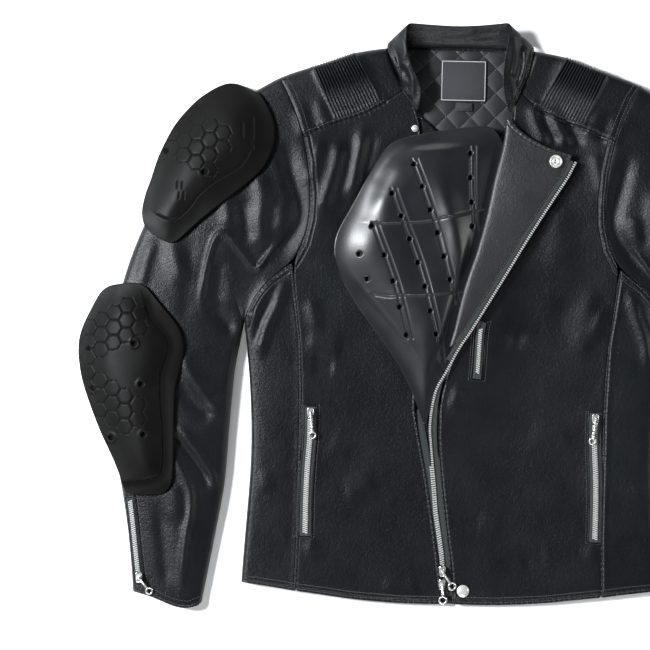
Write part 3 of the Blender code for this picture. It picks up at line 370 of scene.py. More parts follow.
BODY_FOLDS = (
    (4.4, 10, 8, ((340, 140), (336, 165), (328, 192), (318, 216))),
    (1.8, 7, 6, ((320, 142), (315, 165), (310, 185))),
    (4.6, 10, 7, ((363, 128), (360, 150), (354, 180), (347, 200))),
    (-2.0, 6, 7, ((374, 134), (369, 155), (362, 176))),
    (4.0, 6, 7, ((275, 279), (259, 303), (250, 334))),
    (4.6, 6, 7, ((289, 277), (273, 312), (264, 333), (258, 360))),
    (-3.6, 5, 5, ((276, 296), (262, 320), (255, 345))),
    (2.8, 7, 8, ((310, 300), (318, 328))),
    (2.2, 14, 10, ((306, 340), (322, 346), (342, 350))),
    (-2.2, 9, 9, ((312, 362), (335, 366))),
    (1.2, 10, 10, ((262, 470), (268, 490))),
    (2.2, 8, 8, ((306, 552), (316, 540))),
    (1.3, 15, 12, ((345, 495), (362, 488), (376, 480))),
    (1.2, 12, 12, ((380, 585), (402, 590), (420, 586))),
    (0.9, 16, 16, ((330, 440), (352, 452))),
    (1.7, 14, 16, ((505, 300), (508, 325), (500, 350), (488, 372))),
    (-2.4, 9, 9, ((518, 330), (512, 350))),
    (3.0, 8, 6, ((459, 386), (455, 398), (449, 412))),
    (3.6, 7, 8, ((531, 104), (535, 122), (546, 146))),
    (-3.4, 6, 6, ((540, 106), (545, 126), (556, 148))),
    (3.4, 6, 8, ((550, 106), (556, 124), (568, 148))),
    (-3.0, 6, 6, ((563, 110), (570, 128), (580, 150))),
    (1.5, 18, 14, ((560, 205), (556, 245), (548, 275))),
    (1.5, 10, 12, ((590, 285), (584, 330), (576, 360))),
    (-1.0, 12, 12, ((566, 300), (556, 335))),
    (0.8, 16, 16, ((530, 430), (552, 440), (570, 436))),
    (0.9, 14, 14, ((478, 520), (500, 528))),
    (-0.9, 14, 14, ((520, 560), (545, 552))),
    (1.0, 12, 12, ((585, 470), (596, 500))),
    (3.0, 6, 7, ((300, 110), (303, 125), (306, 138))),
    (-2.4, 5, 5, ((309, 104), (312, 118), (316, 132))),
    (2.6, 5, 6, ((318, 100), (322, 115), (329, 128))),
)
SHOULDER = ((88, 353), (104, 351), (123, 347), (153, 336), (174, 329), (194, 323), (213, 315))
SLEEVE_OUTER = (
    (213, 315), (258, 289), (299, 253), (333, 211), (354, 169), (381, 106), (399, 38), (408, -33),
    (401, -103), (387, -168), (378, -217), (371, -292),
)
SLEEVE_INNER = (
    (247, 26), (254, 4), (257, -25), (260, -65), (264, -136), (266, -172), (274, -210),
    (281, -253), (290, -304),
)
SIDE_EDGE = ((247, 26), (241, -18), (236, -88), (235, -125), (238, -182), (241, -223), (244, -278))
YOKE_SEAM = ((88, 289), (112, 276), (151, 262), (183, 248))
PRINCESS = ((192, 99), (186, 50), (180, 8), (177, -71), (177, -216), (179, -287))
CUFF = ((290, -304), (303, -310), (318, -309), (335, -303), (351, -296), (371, -292))
RIGHT_EDGE = (
    (53, 284), (46, 266), (45, 240), (46, 150), (45, -72), (34, -126), (27, -162), (21, -200),
    (15, -238), (9, -280), (1, -299),
)
LEFT_EDGE = (
    (62, 284), (60, 263), (56, 234), (48, 204), (42, 170), (35, 140), (27, 110), (17, 81),
    (10, 51), (4, 21), (-3, -3), (-11, -33), (-17, -62), (-17, -100), (-15, -126), (-11, -162),
    (-4, -216), (2, -255), (5, -299),
)
FOLDED = (SHOULDER, SLEEVE_OUTER, SLEEVE_INNER, SIDE_EDGE, HEM, CUFF)
RIB_LINES = (((174, 328), (160, 299), (146, 271)), ((121.6, 347.8), (104, 322), (88, 297)))


def move_points(piece, points):
    piece.data.vertices.foreach_set("co", points.reshape(-1))
    piece.data.update()


def calmed(piece, rounds):
    """How far each point has to rise to lie in the mean of its surroundings."""
    points = points_of(piece)
    ends = np.empty(len(piece.data.edges) * 2, int)
    piece.data.edges.foreach_get("vertices", ends)
    ends = ends.reshape(-1, 2)
    count = np.bincount(ends.ravel(), minlength=len(points))
    mean = points[:, 2].copy()
    for _ in range(rounds):
        total = np.bincount(ends[:, 0], mean[ends[:, 1]], len(points))
        total += np.bincount(ends[:, 1], mean[ends[:, 0]], len(points))
        mean = total / count
    return mean - points[:, 2]


def wrinkle(points, size, depth, seed):
    """Small uneven rises of the surface, in metres."""
    plan = points[:, :2] / size
    return np.array([noise.noise(Vector((x, y, seed))) for x, y in plan]) * depth


FOLD_REACH = 0.04  # metres, beyond which a fold isn't felt
EDGE_FLAT, EDGE_FADE = 3 * MM, 14 * MM  # the folds run out towards the sewn edges
WRINKLES = ((0.08, 0.7 * MM, 5.3), (0.02, 0.12 * MM, 3.1))  # size, depth and seed
FINE_WRINKLES = (0.009, 0.12 * MM, 8.4)
TWIN_HEIGHT = 0.8  # of the left side's folds, against the right side's
TWIN_BEYOND = 0.14  # metres from the middle: body folds out there have a twin on the left


def fold_rise(points):
    """How far the leather rises or falls, beyond the solid's own form."""
    plan = points[:, :2]
    rise = np.zeros(len(plan))
    right = plan[:, 0] < 0
    aside = 4 * MM * np.sin(plan[:, 1] / 0.05)
    twin_plan = np.column_stack([-plan[:, 0] + aside, plan[:, 1] * 1.01 + 3 * MM])
    for folds, always in ((SLEEVE_FOLDS, True), (BODY_FOLDS, False)):
        for high, wide_left, wide_right, line in folds:
            path = curved([spot(*place) for place in line])
            twin = always or path[:, 0].max() < -TWIN_BEYOND
            sides = ((plan, right if twin else True, 1.0), (twin_plan, ~right & twin, TWIN_HEIGHT))
            for where, chosen, part in sides:
                low, top = path.min(0) - FOLD_REACH, path.max(0) + FOLD_REACH
                inside = chosen & ((where > low) & (where < top)).all(1)
                if not inside.any():
                    continue
                away, side, along = beside(where[inside], path)
                share = along / np.linalg.norm(np.diff(path, axis=0), axis=1).sum()
                wide = np.where(side > 0, wide_left, wide_right) * MM
                ends = smooth(np.minimum(share, 1 - share) * 4 + 0.15)
                rise[inside] += high * part * MM * ends * np.exp(-((away / wide) ** 2))
    rise += sum(wrinkle(points, *kind) for kind in WRINKLES)
    fade = np.full(len(plan), 1.0)
    bent = np.column_stack([np.abs(plan[:, 0]), plan[:, 1]])
    for line in FOLDED:
        away, _, _ = beside(bent, np.array(line) * MM)
        fade = np.minimum(fade, smooth((away - EDGE_FLAT) / EDGE_FADE))
    return rise * fade


RIB_WAY = np.array((0.44, 0.9))  # along the ribs, towards the shoulder
RIB_START, RIB_SHORT = 2.5, 25.0  # mm from the yoke seam: between them the solid's ribs fade
RIB_GAIN, RIB_MOST = 2.7, 1.2 * MM
RIB_FADE = 3  # mm, at the patch's two sides


def rib_rise(panel, plan):
    """What the padded ribs still need, to stand full right up to the yoke seam."""
    rib = -np.clip(calmed(panel, rounds=30), -RIB_MOST, RIB_MOST)
    full = rib * RIB_GAIN
    gap = beside(plan, YOKE_SEAM)[0]
    tree = KDTree(len(plan))
    facing = np.empty(len(plan) * 3)
    panel.data.vertices.foreach_get("normal", facing)
    upper = facing.reshape(-1, 3)[:, 2] > 0.3
    for index in np.flatnonzero(upper):
        tree.insert((*plan[index], 0), index)
    tree.balance()
    for index in np.flatnonzero(upper & (gap > RIB_START) & (gap < RIB_SHORT)):
        _, other, _ = tree.find((*(plan[index] + RIB_WAY * (RIB_SHORT - gap[index])), 0))
        full[index] = rib[other] * RIB_GAIN
    return np.where(upper, full - rib, 0)


LEVELS = {"yoke": 2, "front": 3, "side_front": 3, "sleeve_upper": 3}
SEWN = {  # the seams with one and with two rows of stitches, on each kind of panel
    "yoke": ((YOKE_SEAM,), ()), "front": ((YOKE_SEAM,), (ARMHOLE, HEM)),
    "side_front": ((PRINCESS,), (ARMHOLE, HEM)), "sleeve_upper": ((CUFF,), ()),
}
ROLLED = {  # seams whose edge stands up a little, and by how many mm
    "yoke": ((YOKE_SEAM, 0.9),), "front": ((ARMHOLE, 1.3),),
    "side_front": ((PRINCESS, 0.7), (ARMHOLE, 1.1)), "sleeve_upper": ((CUFF, 0.4),),
}
ROLL_IN, ROLL_WIDE = 3.2 * MM, 3 * MM  # of that edge, from its seam
YOKE_CALM = 0.6  # the share of the folds that the padded yokes take
panels = {}
for word, flip in (("right", mirrored), ("left", list)):
    node = f"sleeve_under_{word}"
    under = jacket_piece(refined(node, f"under_sleeve_{word}", 2, SHELL), node)
    mark_seams(under, double=[flip(ARMHOLE), flip(CUFF)])
    for kind, level in LEVELS.items():
        node = f"{kind}_{word}"
        panel = jacket_piece(refined(node, f"{kind}_panel_{word}", level, SHELL), node)
        single, double = ([flip(line) for line in rows] for rows in SEWN[kind])
        if kind == "front":
            single.append(mirrored(RIGHT_EDGE) if word == "right" else LEFT_EDGE)
        mark_seams(panel, single, double)
        points = points_of(panel)
        if kind == "yoke":
            out, up = np.abs(points[:, 0]) / MM, points[:, 1] / MM
            sides = [np.interp(up, *np.array(line)[::-1].T[::-1]) for line in RIB_LINES]
            ribs = smooth((sides[0] + RIB_FADE - out) / RIB_FADE)
            ribs *= smooth((out - sides[1] + RIB_FADE) / RIB_FADE)
            points[:, 2] += rib_rise(panel, np.column_stack([out, up])) * ribs
        for line, high in ROLLED[kind]:
            away, _, _ = beside(points[:, :2], np.array(flip(line)) * MM)
            points[:, 2] += high * MM * np.exp(-(((away - ROLL_IN) / ROLL_WIDE) ** 2))
        share = YOKE_CALM if kind == "yoke" else 1.0
        points[:, 2] += fold_rise(points) * share + wrinkle(points, *FINE_WRINKLES)
        move_points(panel, points)
        panels[node] = panel


ABOVE = 0.3  # metres, over everything on the table


def surface_tree(*pieces):
    """The surfaces of pieces, to look down on."""
    points, faces = [], []
    for piece in pieces:
        faces += [[index + len(points) for index in face.vertices] for face in piece.data.polygons]
        points += [vertex.co for vertex in piece.data.vertices]
    return BVHTree.FromPolygons(points, faces)


def top_of(tree, x, y):
    """The highest place of a surface over a point of the plan, and the way it faces."""
    place, facing, _, _ = tree.ray_cast(Vector((x, y, ABOVE)), Vector((0, 0, -1)))
    return (None, None) if place is None else (np.array(place), np.array(facing))


def evenly(line, step):
    """Points a step apart on a line, with their directions."""
    line = np.asarray(line, float)
    length = np.append(0, np.cumsum(np.linalg.norm(np.diff(line, axis=0), axis=1)))
    at = np.linspace(0, length[-1], max(2, round(length[-1] / step) + 1))
    points = np.column_stack([np.interp(at, length, line[:, k]) for k in range(line.shape[1])])
    return points, np.gradient(points, axis=0)


def shifted(line, out):
    """The line moved to its left, in the plan."""
    points, run = evenly(np.asarray(line, float), 4.0)
    run /= np.linalg.norm(run, axis=1)[:, None]
    return points + out * np.column_stack([-run[:, 1], run[:, 0]])


def placed(form, origin, along, up):
    """A form made along X with its foot at Z = 0, set down along a direction on a surface."""
    along = along / np.linalg.norm(along)
    across = np.cross(up, along)
    across /= np.linalg.norm(across)
    upright = np.cross(along, across)
    return origin + form[:, :1] * along + form[:, 1:2] * across + form[:, 2:] * upright


def piece_from(name, parts, material, shaded=True):
    """One mesh of many parts, each with its points in metres and its faces."""
    points, faces, count = [], [], 0
    for part_points, part_faces in parts:
        points.append(part_points)
        faces += [tuple(index + count for index in face) for face in part_faces]
        count += len(part_points)
    mesh = bpy.data.meshes.new(name)
    mesh.from_pydata(np.vstack(points).tolist(), [], faces)
    mesh.materials.append(material)
    if shaded:
        mesh.shade_smooth()
    piece = bpy.data.objects.new(name, mesh)
    bpy.context.scene.collection.objects.link(piece)
    return piece


def rings(outlines, closed_ends=True):
    """Points and faces of a skin through outlines with as many points each."""
    count = len(outlines[0])
    faces = []
    for level in range(len(outlines) - 1):
        for k in range(count):
            low, next_low = level * count + k, level * count + (k + 1) % count
            faces.append((low, next_low, next_low + count, low + count))
    if closed_ends:
        last = (len(outlines) - 1) * count
        faces += [tuple(reversed(range(count))), tuple(range(last, last + count))]
    return np.vstack(outlines), faces


def circle(radius, count=16):
    turns = np.linspace(0, 2 * math.pi, count, endpoint=False)
    return np.column_stack([radius * np.cos(turns), radius * np.sin(turns)])


LOOP_FORM = (  # where along the stitch, how thick, and how far it dips
    (-0.5, 0.35, -0.55), (-0.28, 0.95, 0), (0.28, 0.95, 0), (0.5, 0.35, -0.55),
)


def thread_loop(long, thick):
    """A stitch along X, thin at its ends where it enters the leather."""
    outlines = []
    for at, size, low in LOOP_FORM:
        side = circle(size * thick, 5)
        side[:, 1] += low * thick
        outlines.append(np.column_stack([np.full(5, at * long), side]))
    return rings(outlines)


THREAD, _ = new_material("black_thread", (0.036, 0.038, 0.042), 0.4)
STEEP = 0.35  # no stitch is set where a surface faces up by less than this


def stitches(name, lines, trees, material=THREAD, pitch=3.3, long=2.5, thick=0.4):
    """Rows of thread loops lying on the leather along lines, which are in mm."""
    form, faces = thread_loop(long * MM, thick * MM)
    parts = []
    for line in lines:
        points, runs = evenly(np.asarray(line, float)[:, :2] * MM, pitch * MM)
        for point, run in zip(points, runs):
            for tree in trees:
                place, facing = top_of(tree, *point)
                if place is not None and facing[2] > STEEP:
                    along = np.array([*run, 0.0])
                    along -= facing * (along @ facing)
                    foot = place + facing * 0.1 * MM
                    parts.append((placed(form, foot, along, facing), faces))
                    break
    piece = piece_from(name, parts, material)
    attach(piece, "jacket")
    return piece


TURNED_IN = 3.0  # mm from the hem's and cuffs' turned edge to its first row of stitches
EDGE_IN = 2.6  # mm from a front's or small piece's edge to its row
STITCHED = (
    (ARMHOLE, -ROW_IN), (ARMHOLE, -ROW_IN - ROWS_APART), (YOKE_SEAM, ROW_IN), (HEM, -TURNED_IN),
    (HEM, -TURNED_IN - ROWS_APART), (PRINCESS, ROW_IN), (CUFF, TURNED_IN),
    (CUFF, TURNED_IN + ROWS_APART),
)
for word, flip in (("right", mirrored), ("left", list)):
    trees = [surface_tree(*(panels[f"{kind}_{word}"] for kind in LEVELS))]
    rows = [flip(shifted(line, out)) for line, out in STITCHED]
    if word == "right":
        rows.append(shifted(mirrored(RIGHT_EDGE), -EDGE_IN))
    else:
        rows.append(shifted(LEFT_EDGE[12:], EDGE_IN))  # above it the edge is rolled under
    stitches(f"seam_stitches_{word}", rows, trees)

# ==== Collar ======================================================================================
# A soft stand collar of the same hide, lined and sewn into the neck seam. It lies creased under its
# own weight, with its two ends laid down on the fronts.

COLLAR_ENDS = ((384, 55), (394, 75), (403, 93), (412, 106)), ((531, 53), (525, 83), (515, 98))
COLLAR_ROWS = (  # in the photograph's grid: along the foot, and beside both ends
    ((407, 41), (430, 43), (456, 43.5), (482, 43), (502, 41)),
    COLLAR_ENDS[0], ((388, 53), (398, 73), (407, 91), (415, 103)),
    COLLAR_ENDS[1], ((527, 50), (521, 81), (512, 96)),
)
COLLAR_CREASES = (  # as the folds are given
    (2.4, 4, 4, ((399, 38), (403, 52), (402, 66))),
    (-1.8, 3, 3, ((392, 46), (397, 60), (400, 74))),
    (2.2, 4, 3, ((406, 70), (411, 82), (411, 96))),
    (1.6, 3, 3, ((388, 56), (396, 68), (404, 84))),
    (2.4, 4, 3, ((512, 44), (514, 60), (511, 76))),
    (-1.8, 3, 3, ((519, 50), (520, 64), (516, 82))),
    (2.0, 3, 3, ((524, 56), (523, 72), (518, 88))),
    (1.0, 4, 4, ((430, 33), (448, 37), (470, 34))),
    (-1.0, 4, 4, ((440, 40), (462, 41), (488, 37))),
    (1.2, 3, 4, ((508, 80), (512, 92), (513, 103))),
)
COLLAR_FOOT_UP, COLLAR_ENDS_OUT = 373 * MM, 74 * MM  # the foot's middle lies within these
FOOT_PULL = 5.5 * MM  # how far the lining's neck seam pulls it down

collar = jacket_piece(refined("collar", "collar_band", 3, SHELL, crease=0.2), "collar")
mark_seams(collar, single=[np.array([spot(*place) for place in line]) / MM for line in COLLAR_ENDS])
points = points_of(collar)
points[:, 2] += wrinkle(points, 0.012, 0.8 * MM, 1.7)
foot_share = smooth((COLLAR_FOOT_UP - points[:, 1]) / (9 * MM))
foot_share *= smooth((COLLAR_ENDS_OUT - np.abs(points[:, 0])) / (6 * MM))
points[:, 1] -= FOOT_PULL * foot_share
for high, wide_left, wide_right, line in COLLAR_CREASES:
    path = curved([spot(*place) for place in line])
    away, side, _ = beside(points[:, :2], path)
    wide = np.where(side > 0, wide_left, wide_right) * MM
    points[:, 2] += high * MM * np.exp(-((away / wide) ** 2))
move_points(collar, points)
rows = [curved(np.array([spot(*place) for place in row]) / MM) for row in COLLAR_ROWS]
stitches("collar_stitches", rows, [surface_tree(collar)])

# ==== Lining ======================================================================================
# Black satin, quilted in diamonds over thin wadding and sewn inside the back. It shows at the neck
# only, where the woven neck label and size tab are sewn on it.

SATIN, satin_shader = new_material(
    "quilted_satin", (0.011, 0.012, 0.014), 0.45, Sheen_Weight=0.12
)
QUILT = 28.9  # mm, from corner to corner of a diamond
place = object_place(SATIN)
axes = node_in(SATIN, "ShaderNodeSeparateXYZ", Vector=place)
ways = []
for operation in ("ADD", "SUBTRACT"):
    slant = maths(SATIN, operation, axes.outputs["X"], axes.outputs["Y"])
    turned = maths(SATIN, "SINE", maths(SATIN, "MULTIPLY", slant, math.pi / (QUILT * MM)))
    ways.append(maths(SATIN, "POWER", maths(SATIN, "ABSOLUTE", turned), 0.45))
pillow = maths(SATIN, "MULTIPLY", *ways)
weave = relief(SATIN, clouds(SATIN, place, 900.0, 3.0), 0.15 * MM, strength=0.5)
quilted = relief(SATIN, pillow, 1.7 * MM, under=weave)
wire(SATIN, quilted.outputs["Normal"], satin_shader.inputs["Normal"])
lining = jacket_piece(refined("lining_back", "quilted_lining", 3, SATIN, crease=0.3), "lining_back")

QUILT_THREAD, _ = new_material("grey_quilt_thread", (0.11, 0.115, 0.125), 0.6)
LINING = (-71.0, 238.0, 71.0, 351.0)  # its left, foot, right and top, in mm
quilt_rows = []
for way in (1, -1):
    for number in range(-30, 31):
        row = []
        for x in np.linspace(LINING[0], LINING[2], 72):
            y = way * (number * QUILT - x)
            if LINING[1] < y < LINING[3]:
                row.append((x, y))
        if len(row) > 3:
            quilt_rows.append(row)
quilting = stitches(
    "quilt_stitches", quilt_rows, [surface_tree(lining)], QUILT_THREAD, pitch=3.0, long=2.0,
    thick=0.3,
)

LABEL_CLOTH, label_shader = new_material("woven_label", (0.014, 0.015, 0.019), 0.6)
WEAVE_WAVE = 9000  # turns the sine once in each 0.7 mm, two threads of the weave
axes = node_in(LABEL_CLOTH, "ShaderNodeSeparateXYZ", Vector=object_place(LABEL_CLOTH))
threads = [
    maths(LABEL_CLOTH, "SINE", maths(LABEL_CLOTH, "MULTIPLY", axes.outputs[way], WEAVE_WAVE))
    for way in "XY"
]
woven = relief(LABEL_CLOTH, maths(LABEL_CLOTH, "MULTIPLY", *threads), 0.1 * MM)
wire(LABEL_CLOTH, woven.outputs["Normal"], label_shader.inputs["Normal"])
LABELS = (
    ("neck_label", "woven_label", (0.055, 0.05)), ("size_tab", "size_tab_woven", (0.0205, 0.0106)),
)
for node, name, cut in LABELS:
    label = jacket_piece(refined(node, name, 1, LABEL_CLOTH, crease=0.8), node)

WHITE_WEAVE, _ = new_material("white_border_weave", (0.36, 0.37, 0.39), 0.7)
LABEL = (-23.0, 292.0, 32.0, 342.0)  # its left, foot, right and top, in mm
label_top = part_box("neck_label")[1][2]


def border(inset, wide):
    """A thin woven frame inside the label's edge."""
    sunk, proud = label_top - 0.1 * MM, label_top + 0.12 * MM
    outlines = []
    for out, high in ((inset, sunk), (inset, proud), (inset + wide, proud), (inset + wide, sunk)):
        left, foot, right, top = LABEL[0] + out, LABEL[1] + out, LABEL[2] - out, LABEL[3] - out
        corners = [(left, foot), (right, foot), (right, top), (left, top)]
        outlines.append(np.array([(x * MM, y * MM, high) for x, y in corners]))
    return rings(outlines, closed_ends=False)


borders = piece_from("label_border", [border(1.8, 0.75)], WHITE_WEAVE, shaded=False)
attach(borders, "jacket")

# ==== Wind flap ===================================================================================
# A strip of the same hide sewn behind the main zip, to keep the wind out. It shows between the two
# open fronts, with one row of grey thread under the neck.

flap = jacket_piece(refined("wind_flap", "wind_flap_strip", 2, SHELL), "wind_flap")
FLAP_NECK = ((-52, 277), (-36, 270), (-10, 258), (-6.5, 240))
FLAP_ROW_IN = 2.2  # mm from the neck to its row of stitches
mark_seams(flap, single=[FLAP_NECK])
row = shifted(FLAP_NECK, -FLAP_ROW_IN)
flap_row = stitches("flap_stitches", [row], [surface_tree(flap)], QUILT_THREAD, thick=0.42)

# ==== Rolled-back left front ======================================================================
# The left front's facing, of a softer and duller hide that lines its edge beside the zip. The front
# is rolled open along a soft fold, so that the facing lies on top of it like a lapel. The facing's
# colour is painted lighter than the shell's: a painted highlight for its tilt towards the window.

# its two tones are painted lighter than the shell's, a painted highlight for the facing's tilt to
# the light
FACING_PAINTED_LIGHTER = leather(
    "facing_leather_painted_lighter", (0.0055, 0.0062, 0.0072), (0.0085, 0.0095, 0.0108), 0.42, 0.53,
    depth=0.2 * MM, shine=0.5,
)
LAPEL_NECK = ((54, 272), (63, 262), (74, 253), (91, 244), (104, 238), (121, 234), (132, 231))
LAPEL_EDGE = 5.5  # mm from the zip's middle to the facing's seam
ZIP_OPEN = (  # the chain's middle and its tape's height, in mm
    (136, 222, 27), (127, 204, 27), (112, 180, 26.5), (85, 136, 26), (53, 81, 25), (21, 27, 25),
    (5, 2, 25), (-10, -27, 24), (-20, -46, 22), (-25, -70, 18.3), (-27, -93, 14.2),
    (-25.5, -114, 11.2), (-24, -128, 9.6),
)
opened = curved(ZIP_OPEN)
lapel = jacket_piece(refined("lapel", "rolled_lapel", 3, FACING_PAINTED_LIGHTER), "lapel")
mark_seams(lapel, single=[LAPEL_NECK, shifted(opened[:, :2], -LAPEL_EDGE)])
points = points_of(lapel)
points[:, 2] += wrinkle(points, 0.03, 0.45 * MM, 2.2)
move_points(lapel, points)
rows = [shifted(LAPEL_NECK, -EDGE_IN), shifted(opened[:, :2], -LAPEL_EDGE - ROW_IN)]
stitches("lapel_stitches", rows, [surface_tree(lapel)])

# ==== Zips ========================================================================================
# Woven tapes with stamped metal teeth clamped on their edges. The main zip is open down to the
# waist, one half on the rolled front; the pocket, cuff and chest zips are closed and sewn in.


def plated(name, colour, metallic):
    """Nickel plate over a cast or stamped part, a little scratched."""
    material, shader = new_material(name, colour, 0.25, Metallic=metallic)
    place = object_place(material)
    worn = ramped(material, clouds(material, place, 400.0), 0.3, 0.7, 0.16, 0.36)
    wire(material, worn, shader.inputs["Roughness"])
    fine = relief(material, clouds(material, place, 1500.0), 0.05 * MM, strength=0.4)
    wire(material, fine.outputs["Normal"], shader.inputs["Normal"])
    return material


TEETH_METAL = plated("stamped_nickel", (0.62, 0.62, 0.61), 0.5)
TWILL = 1.5  # mm from ridge to ridge of a tape's weave


def zip_tape(name, dark, light):
    """Herringbone tape: its diagonals meet on the line of the chain."""
    material, shader = new_material(name, light, 0.8)
    across, along = number_on(material, "across"), number_on(material, "along")
    slant = maths(material, "ADD", maths(material, "ABSOLUTE", across), along)
    ridge = maths(material, "SINE", maths(material, "MULTIPLY", slant, 2 * math.pi / TWILL))
    raised = relief(material, ridge, 0.25 * MM, strength=0.8)
    wire(material, raised.outputs["Normal"], shader.inputs["Normal"])
    ramp = node_in(material, "ShaderNodeValToRGB", Fac=ramped(material, ridge, -1.0, 1.0))
    ramp.color_ramp.elements[0].color = (*dark, 1)
    ramp.color_ramp.elements[1].color = (*light, 1)
    wire(material, ramp.outputs["Color"], shader.inputs["Base Color"])
    return material


TAPE_CLOTH = zip_tape("zip_tape_cloth", (0.008, 0.011, 0.011), (0.026, 0.034, 0.033))
ZIP_CLOSED = ((-24, -128), (-20, -162), (-17, -192), (-13, -216), (-9, -241), (-8, -253))
closed = curved(ZIP_CLOSED)[2:]
main_line = np.vstack([opened[:, :2], closed, ((-7.6, -262), (-7, -275), (-6, -290))])
POCKET_ZIP = ((167, -70), (167, -107), (169, -141), (170, -175), (170, -222))
CUFF_ZIP = ((376, -181), (372, -209), (370, -225), (367, -250), (364, -272), (363, -280))
CHEST_ZIP = ((32, 34), (30, 22), (29, 4), (28, -21), (27, -33))
ZIP_LINES = {
    "zip": main_line,
    "pocket_zip_left": curved(POCKET_ZIP), "pocket_zip_right": curved(mirrored(POCKET_ZIP)),
    "cuff_zip_left": curved(CUFF_ZIP), "cuff_zip_right": curved(mirrored(CUFF_ZIP)),
    "chest_zip": curved(CHEST_ZIP),
}
TAPE_CUT = {  # width and length of each tape as cut, in metres
    "zip_tape_lapel": (0.014, 0.121), "zip_tape_left": (0.014, 0.232),
    "zip_tape_right": (0.014, 0.236),
    "pocket_zip_left_tape": (0.014, 0.152), "pocket_zip_right_tape": (0.014, 0.152),
    "cuff_zip_left_tape": (0.012, 0.085), "cuff_zip_right_tape": (0.012, 0.085),
    "chest_zip_tape": (0.016, 0.045),
}
tapes = {}
for node, size in TAPE_CUT.items():
    tape = jacket_piece(refined(node, node + "_cloth", 2, TAPE_CLOTH), node)
    zip_name = next(name for name in reversed(ZIP_LINES) if node.startswith(name))
    away, side, along = beside(points_of(tape)[:, :2], ZIP_LINES[zip_name] * MM)
    set_number(tape, "across", away * side / MM)
    set_number(tape, "along", along / MM)
    tapes[node] = tape

TOOTH_REACH, TOOTH_LONG, TOOTH_HIGH = 2.9, 1.7, 2.1  # mm across, along and up from the tape
TOOTH_OUTLINE = ((-0.5, -0.5), (0.2, -0.5), (0.5, -0.28), (0.5, 0.28), (0.2, 0.5), (-0.5, 0.5))
TOOTH_LEVELS = ((0.0, 0.92), (0.25, 1.0), (0.7, 1.0), (1.0, 0.7))  # up, and how wide there
CHAIN_ASIDE = 1.2  # mm from the zip's middle to the middle of a tooth
PITCH, SMALL_PITCH = 2.7, 2.5  # mm from tooth to tooth
SMALL_REACH, SMALL_ASIDE = 0.56, 0.22  # of a small chain's width
CLOSES_AT, CLOSES_OVER = -60, 60  # mm: where the left row begins to stand aside, and by when


def tooth(reach):
    """A stamped tooth: a block with a rounded head, along X across the zip."""
    outline = np.array(TOOTH_OUTLINE) * (reach, TOOTH_LONG)
    levels = []
    for height, size in TOOTH_LEVELS:
        high = np.full(len(outline), height * TOOTH_HIGH)
        levels.append(np.column_stack([outline * size, high]))
    points, faces = rings(levels)
    return points * MM, faces


def chain(name, node, path, sides, aside, reach=TOOTH_REACH, pitch=PITCH):
    """Teeth along a path in mm at their feet, set aside from it by what aside gives for a place."""
    form, faces = tooth(reach)
    parts = []
    for side in sides:
        points, runs = evenly(path * MM, pitch * MM)
        if side < 0:
            points, runs = points[:-1] + np.diff(points, axis=0) / 2, runs[:-1]
        for point, run in zip(points, runs):
            across = np.cross((0, 0, 1), run)
            across /= np.linalg.norm(across)
            origin = point + across * side * aside(point[1] / MM) * MM
            parts.append((placed(form, origin, -side * across, np.array((0, 0, 1.0))), faces))
    jacket_piece(piece_from(name, parts, TEETH_METAL, shaded=False), node)


TAPE_STEPS = (-2.5, -1.2, 0, 1.2, 2.5)  # mm, across a tape


def on_tapes(line, pieces, gap=0.1):
    """A line in the plan with the height of the tapes under it."""
    tree = surface_tree(*pieces)
    high = []
    for x, y in line:
        found = [top_of(tree, (x + step) * MM, y * MM)[0] for step in TAPE_STEPS]
        found = [place[2] / MM for place in found if place is not None]
        high.append(max(found) if found else np.nan)
    high = np.array(high)
    known = ~np.isnan(high)
    high = np.interp(np.arange(len(high)), np.flatnonzero(known), high[known])
    return np.column_stack([line, high + gap])


open_feet = np.column_stack([opened[:, :2], opened[:, 2] + 0.3])
closed_feet = on_tapes(closed, [tapes["zip_tape_left"], tapes["zip_tape_right"]])


def left_aside(up):
    """The left row stands on the middle where the zip is open, and beside it where it is closed."""
    return CHAIN_ASIDE * float(smooth((CLOSES_AT - up) / CLOSES_OVER))


chain("zip_teeth_left", "zip_chain_left", np.vstack([open_feet, closed_feet]), (1,), left_aside)
chain("zip_teeth_right", "zip_chain_right", closed_feet, (-1,), lambda up: CHAIN_ASIDE)
SMALL_ZIPS = (  # mm of bare tape at the top and foot, and the chain's width
    ("pocket_zip_left", 14.0, 4.0, 6.0), ("pocket_zip_right", 14.0, 4.0, 6.0),
    ("cuff_zip_left", 4.0, 13.5, 5.0), ("cuff_zip_right", 4.0, 13.5, 5.0),
    ("chest_zip", 9.0, 7.0, 4.5),
)
for zip_name, start, end, wide in SMALL_ZIPS:
    line, _ = evenly(ZIP_LINES[zip_name], 1.0)
    line = on_tapes(line[int(start): len(line) - int(end)], [tapes[zip_name + "_tape"]])
    chain(
        zip_name + "_teeth", zip_name + "_chain", line, (1, -1), lambda up: wide * SMALL_ASIDE,
        reach=wide * SMALL_REACH, pitch=SMALL_PITCH,
    )

# ==== Sliders and pull tabs =======================================================================
# Cast zinc, nickel plated. A slider has two plates joined by a waist, with a bridge on top; a tab
# hangs on the bridge by its eye and swings there, with a ring at its far end to pull on.

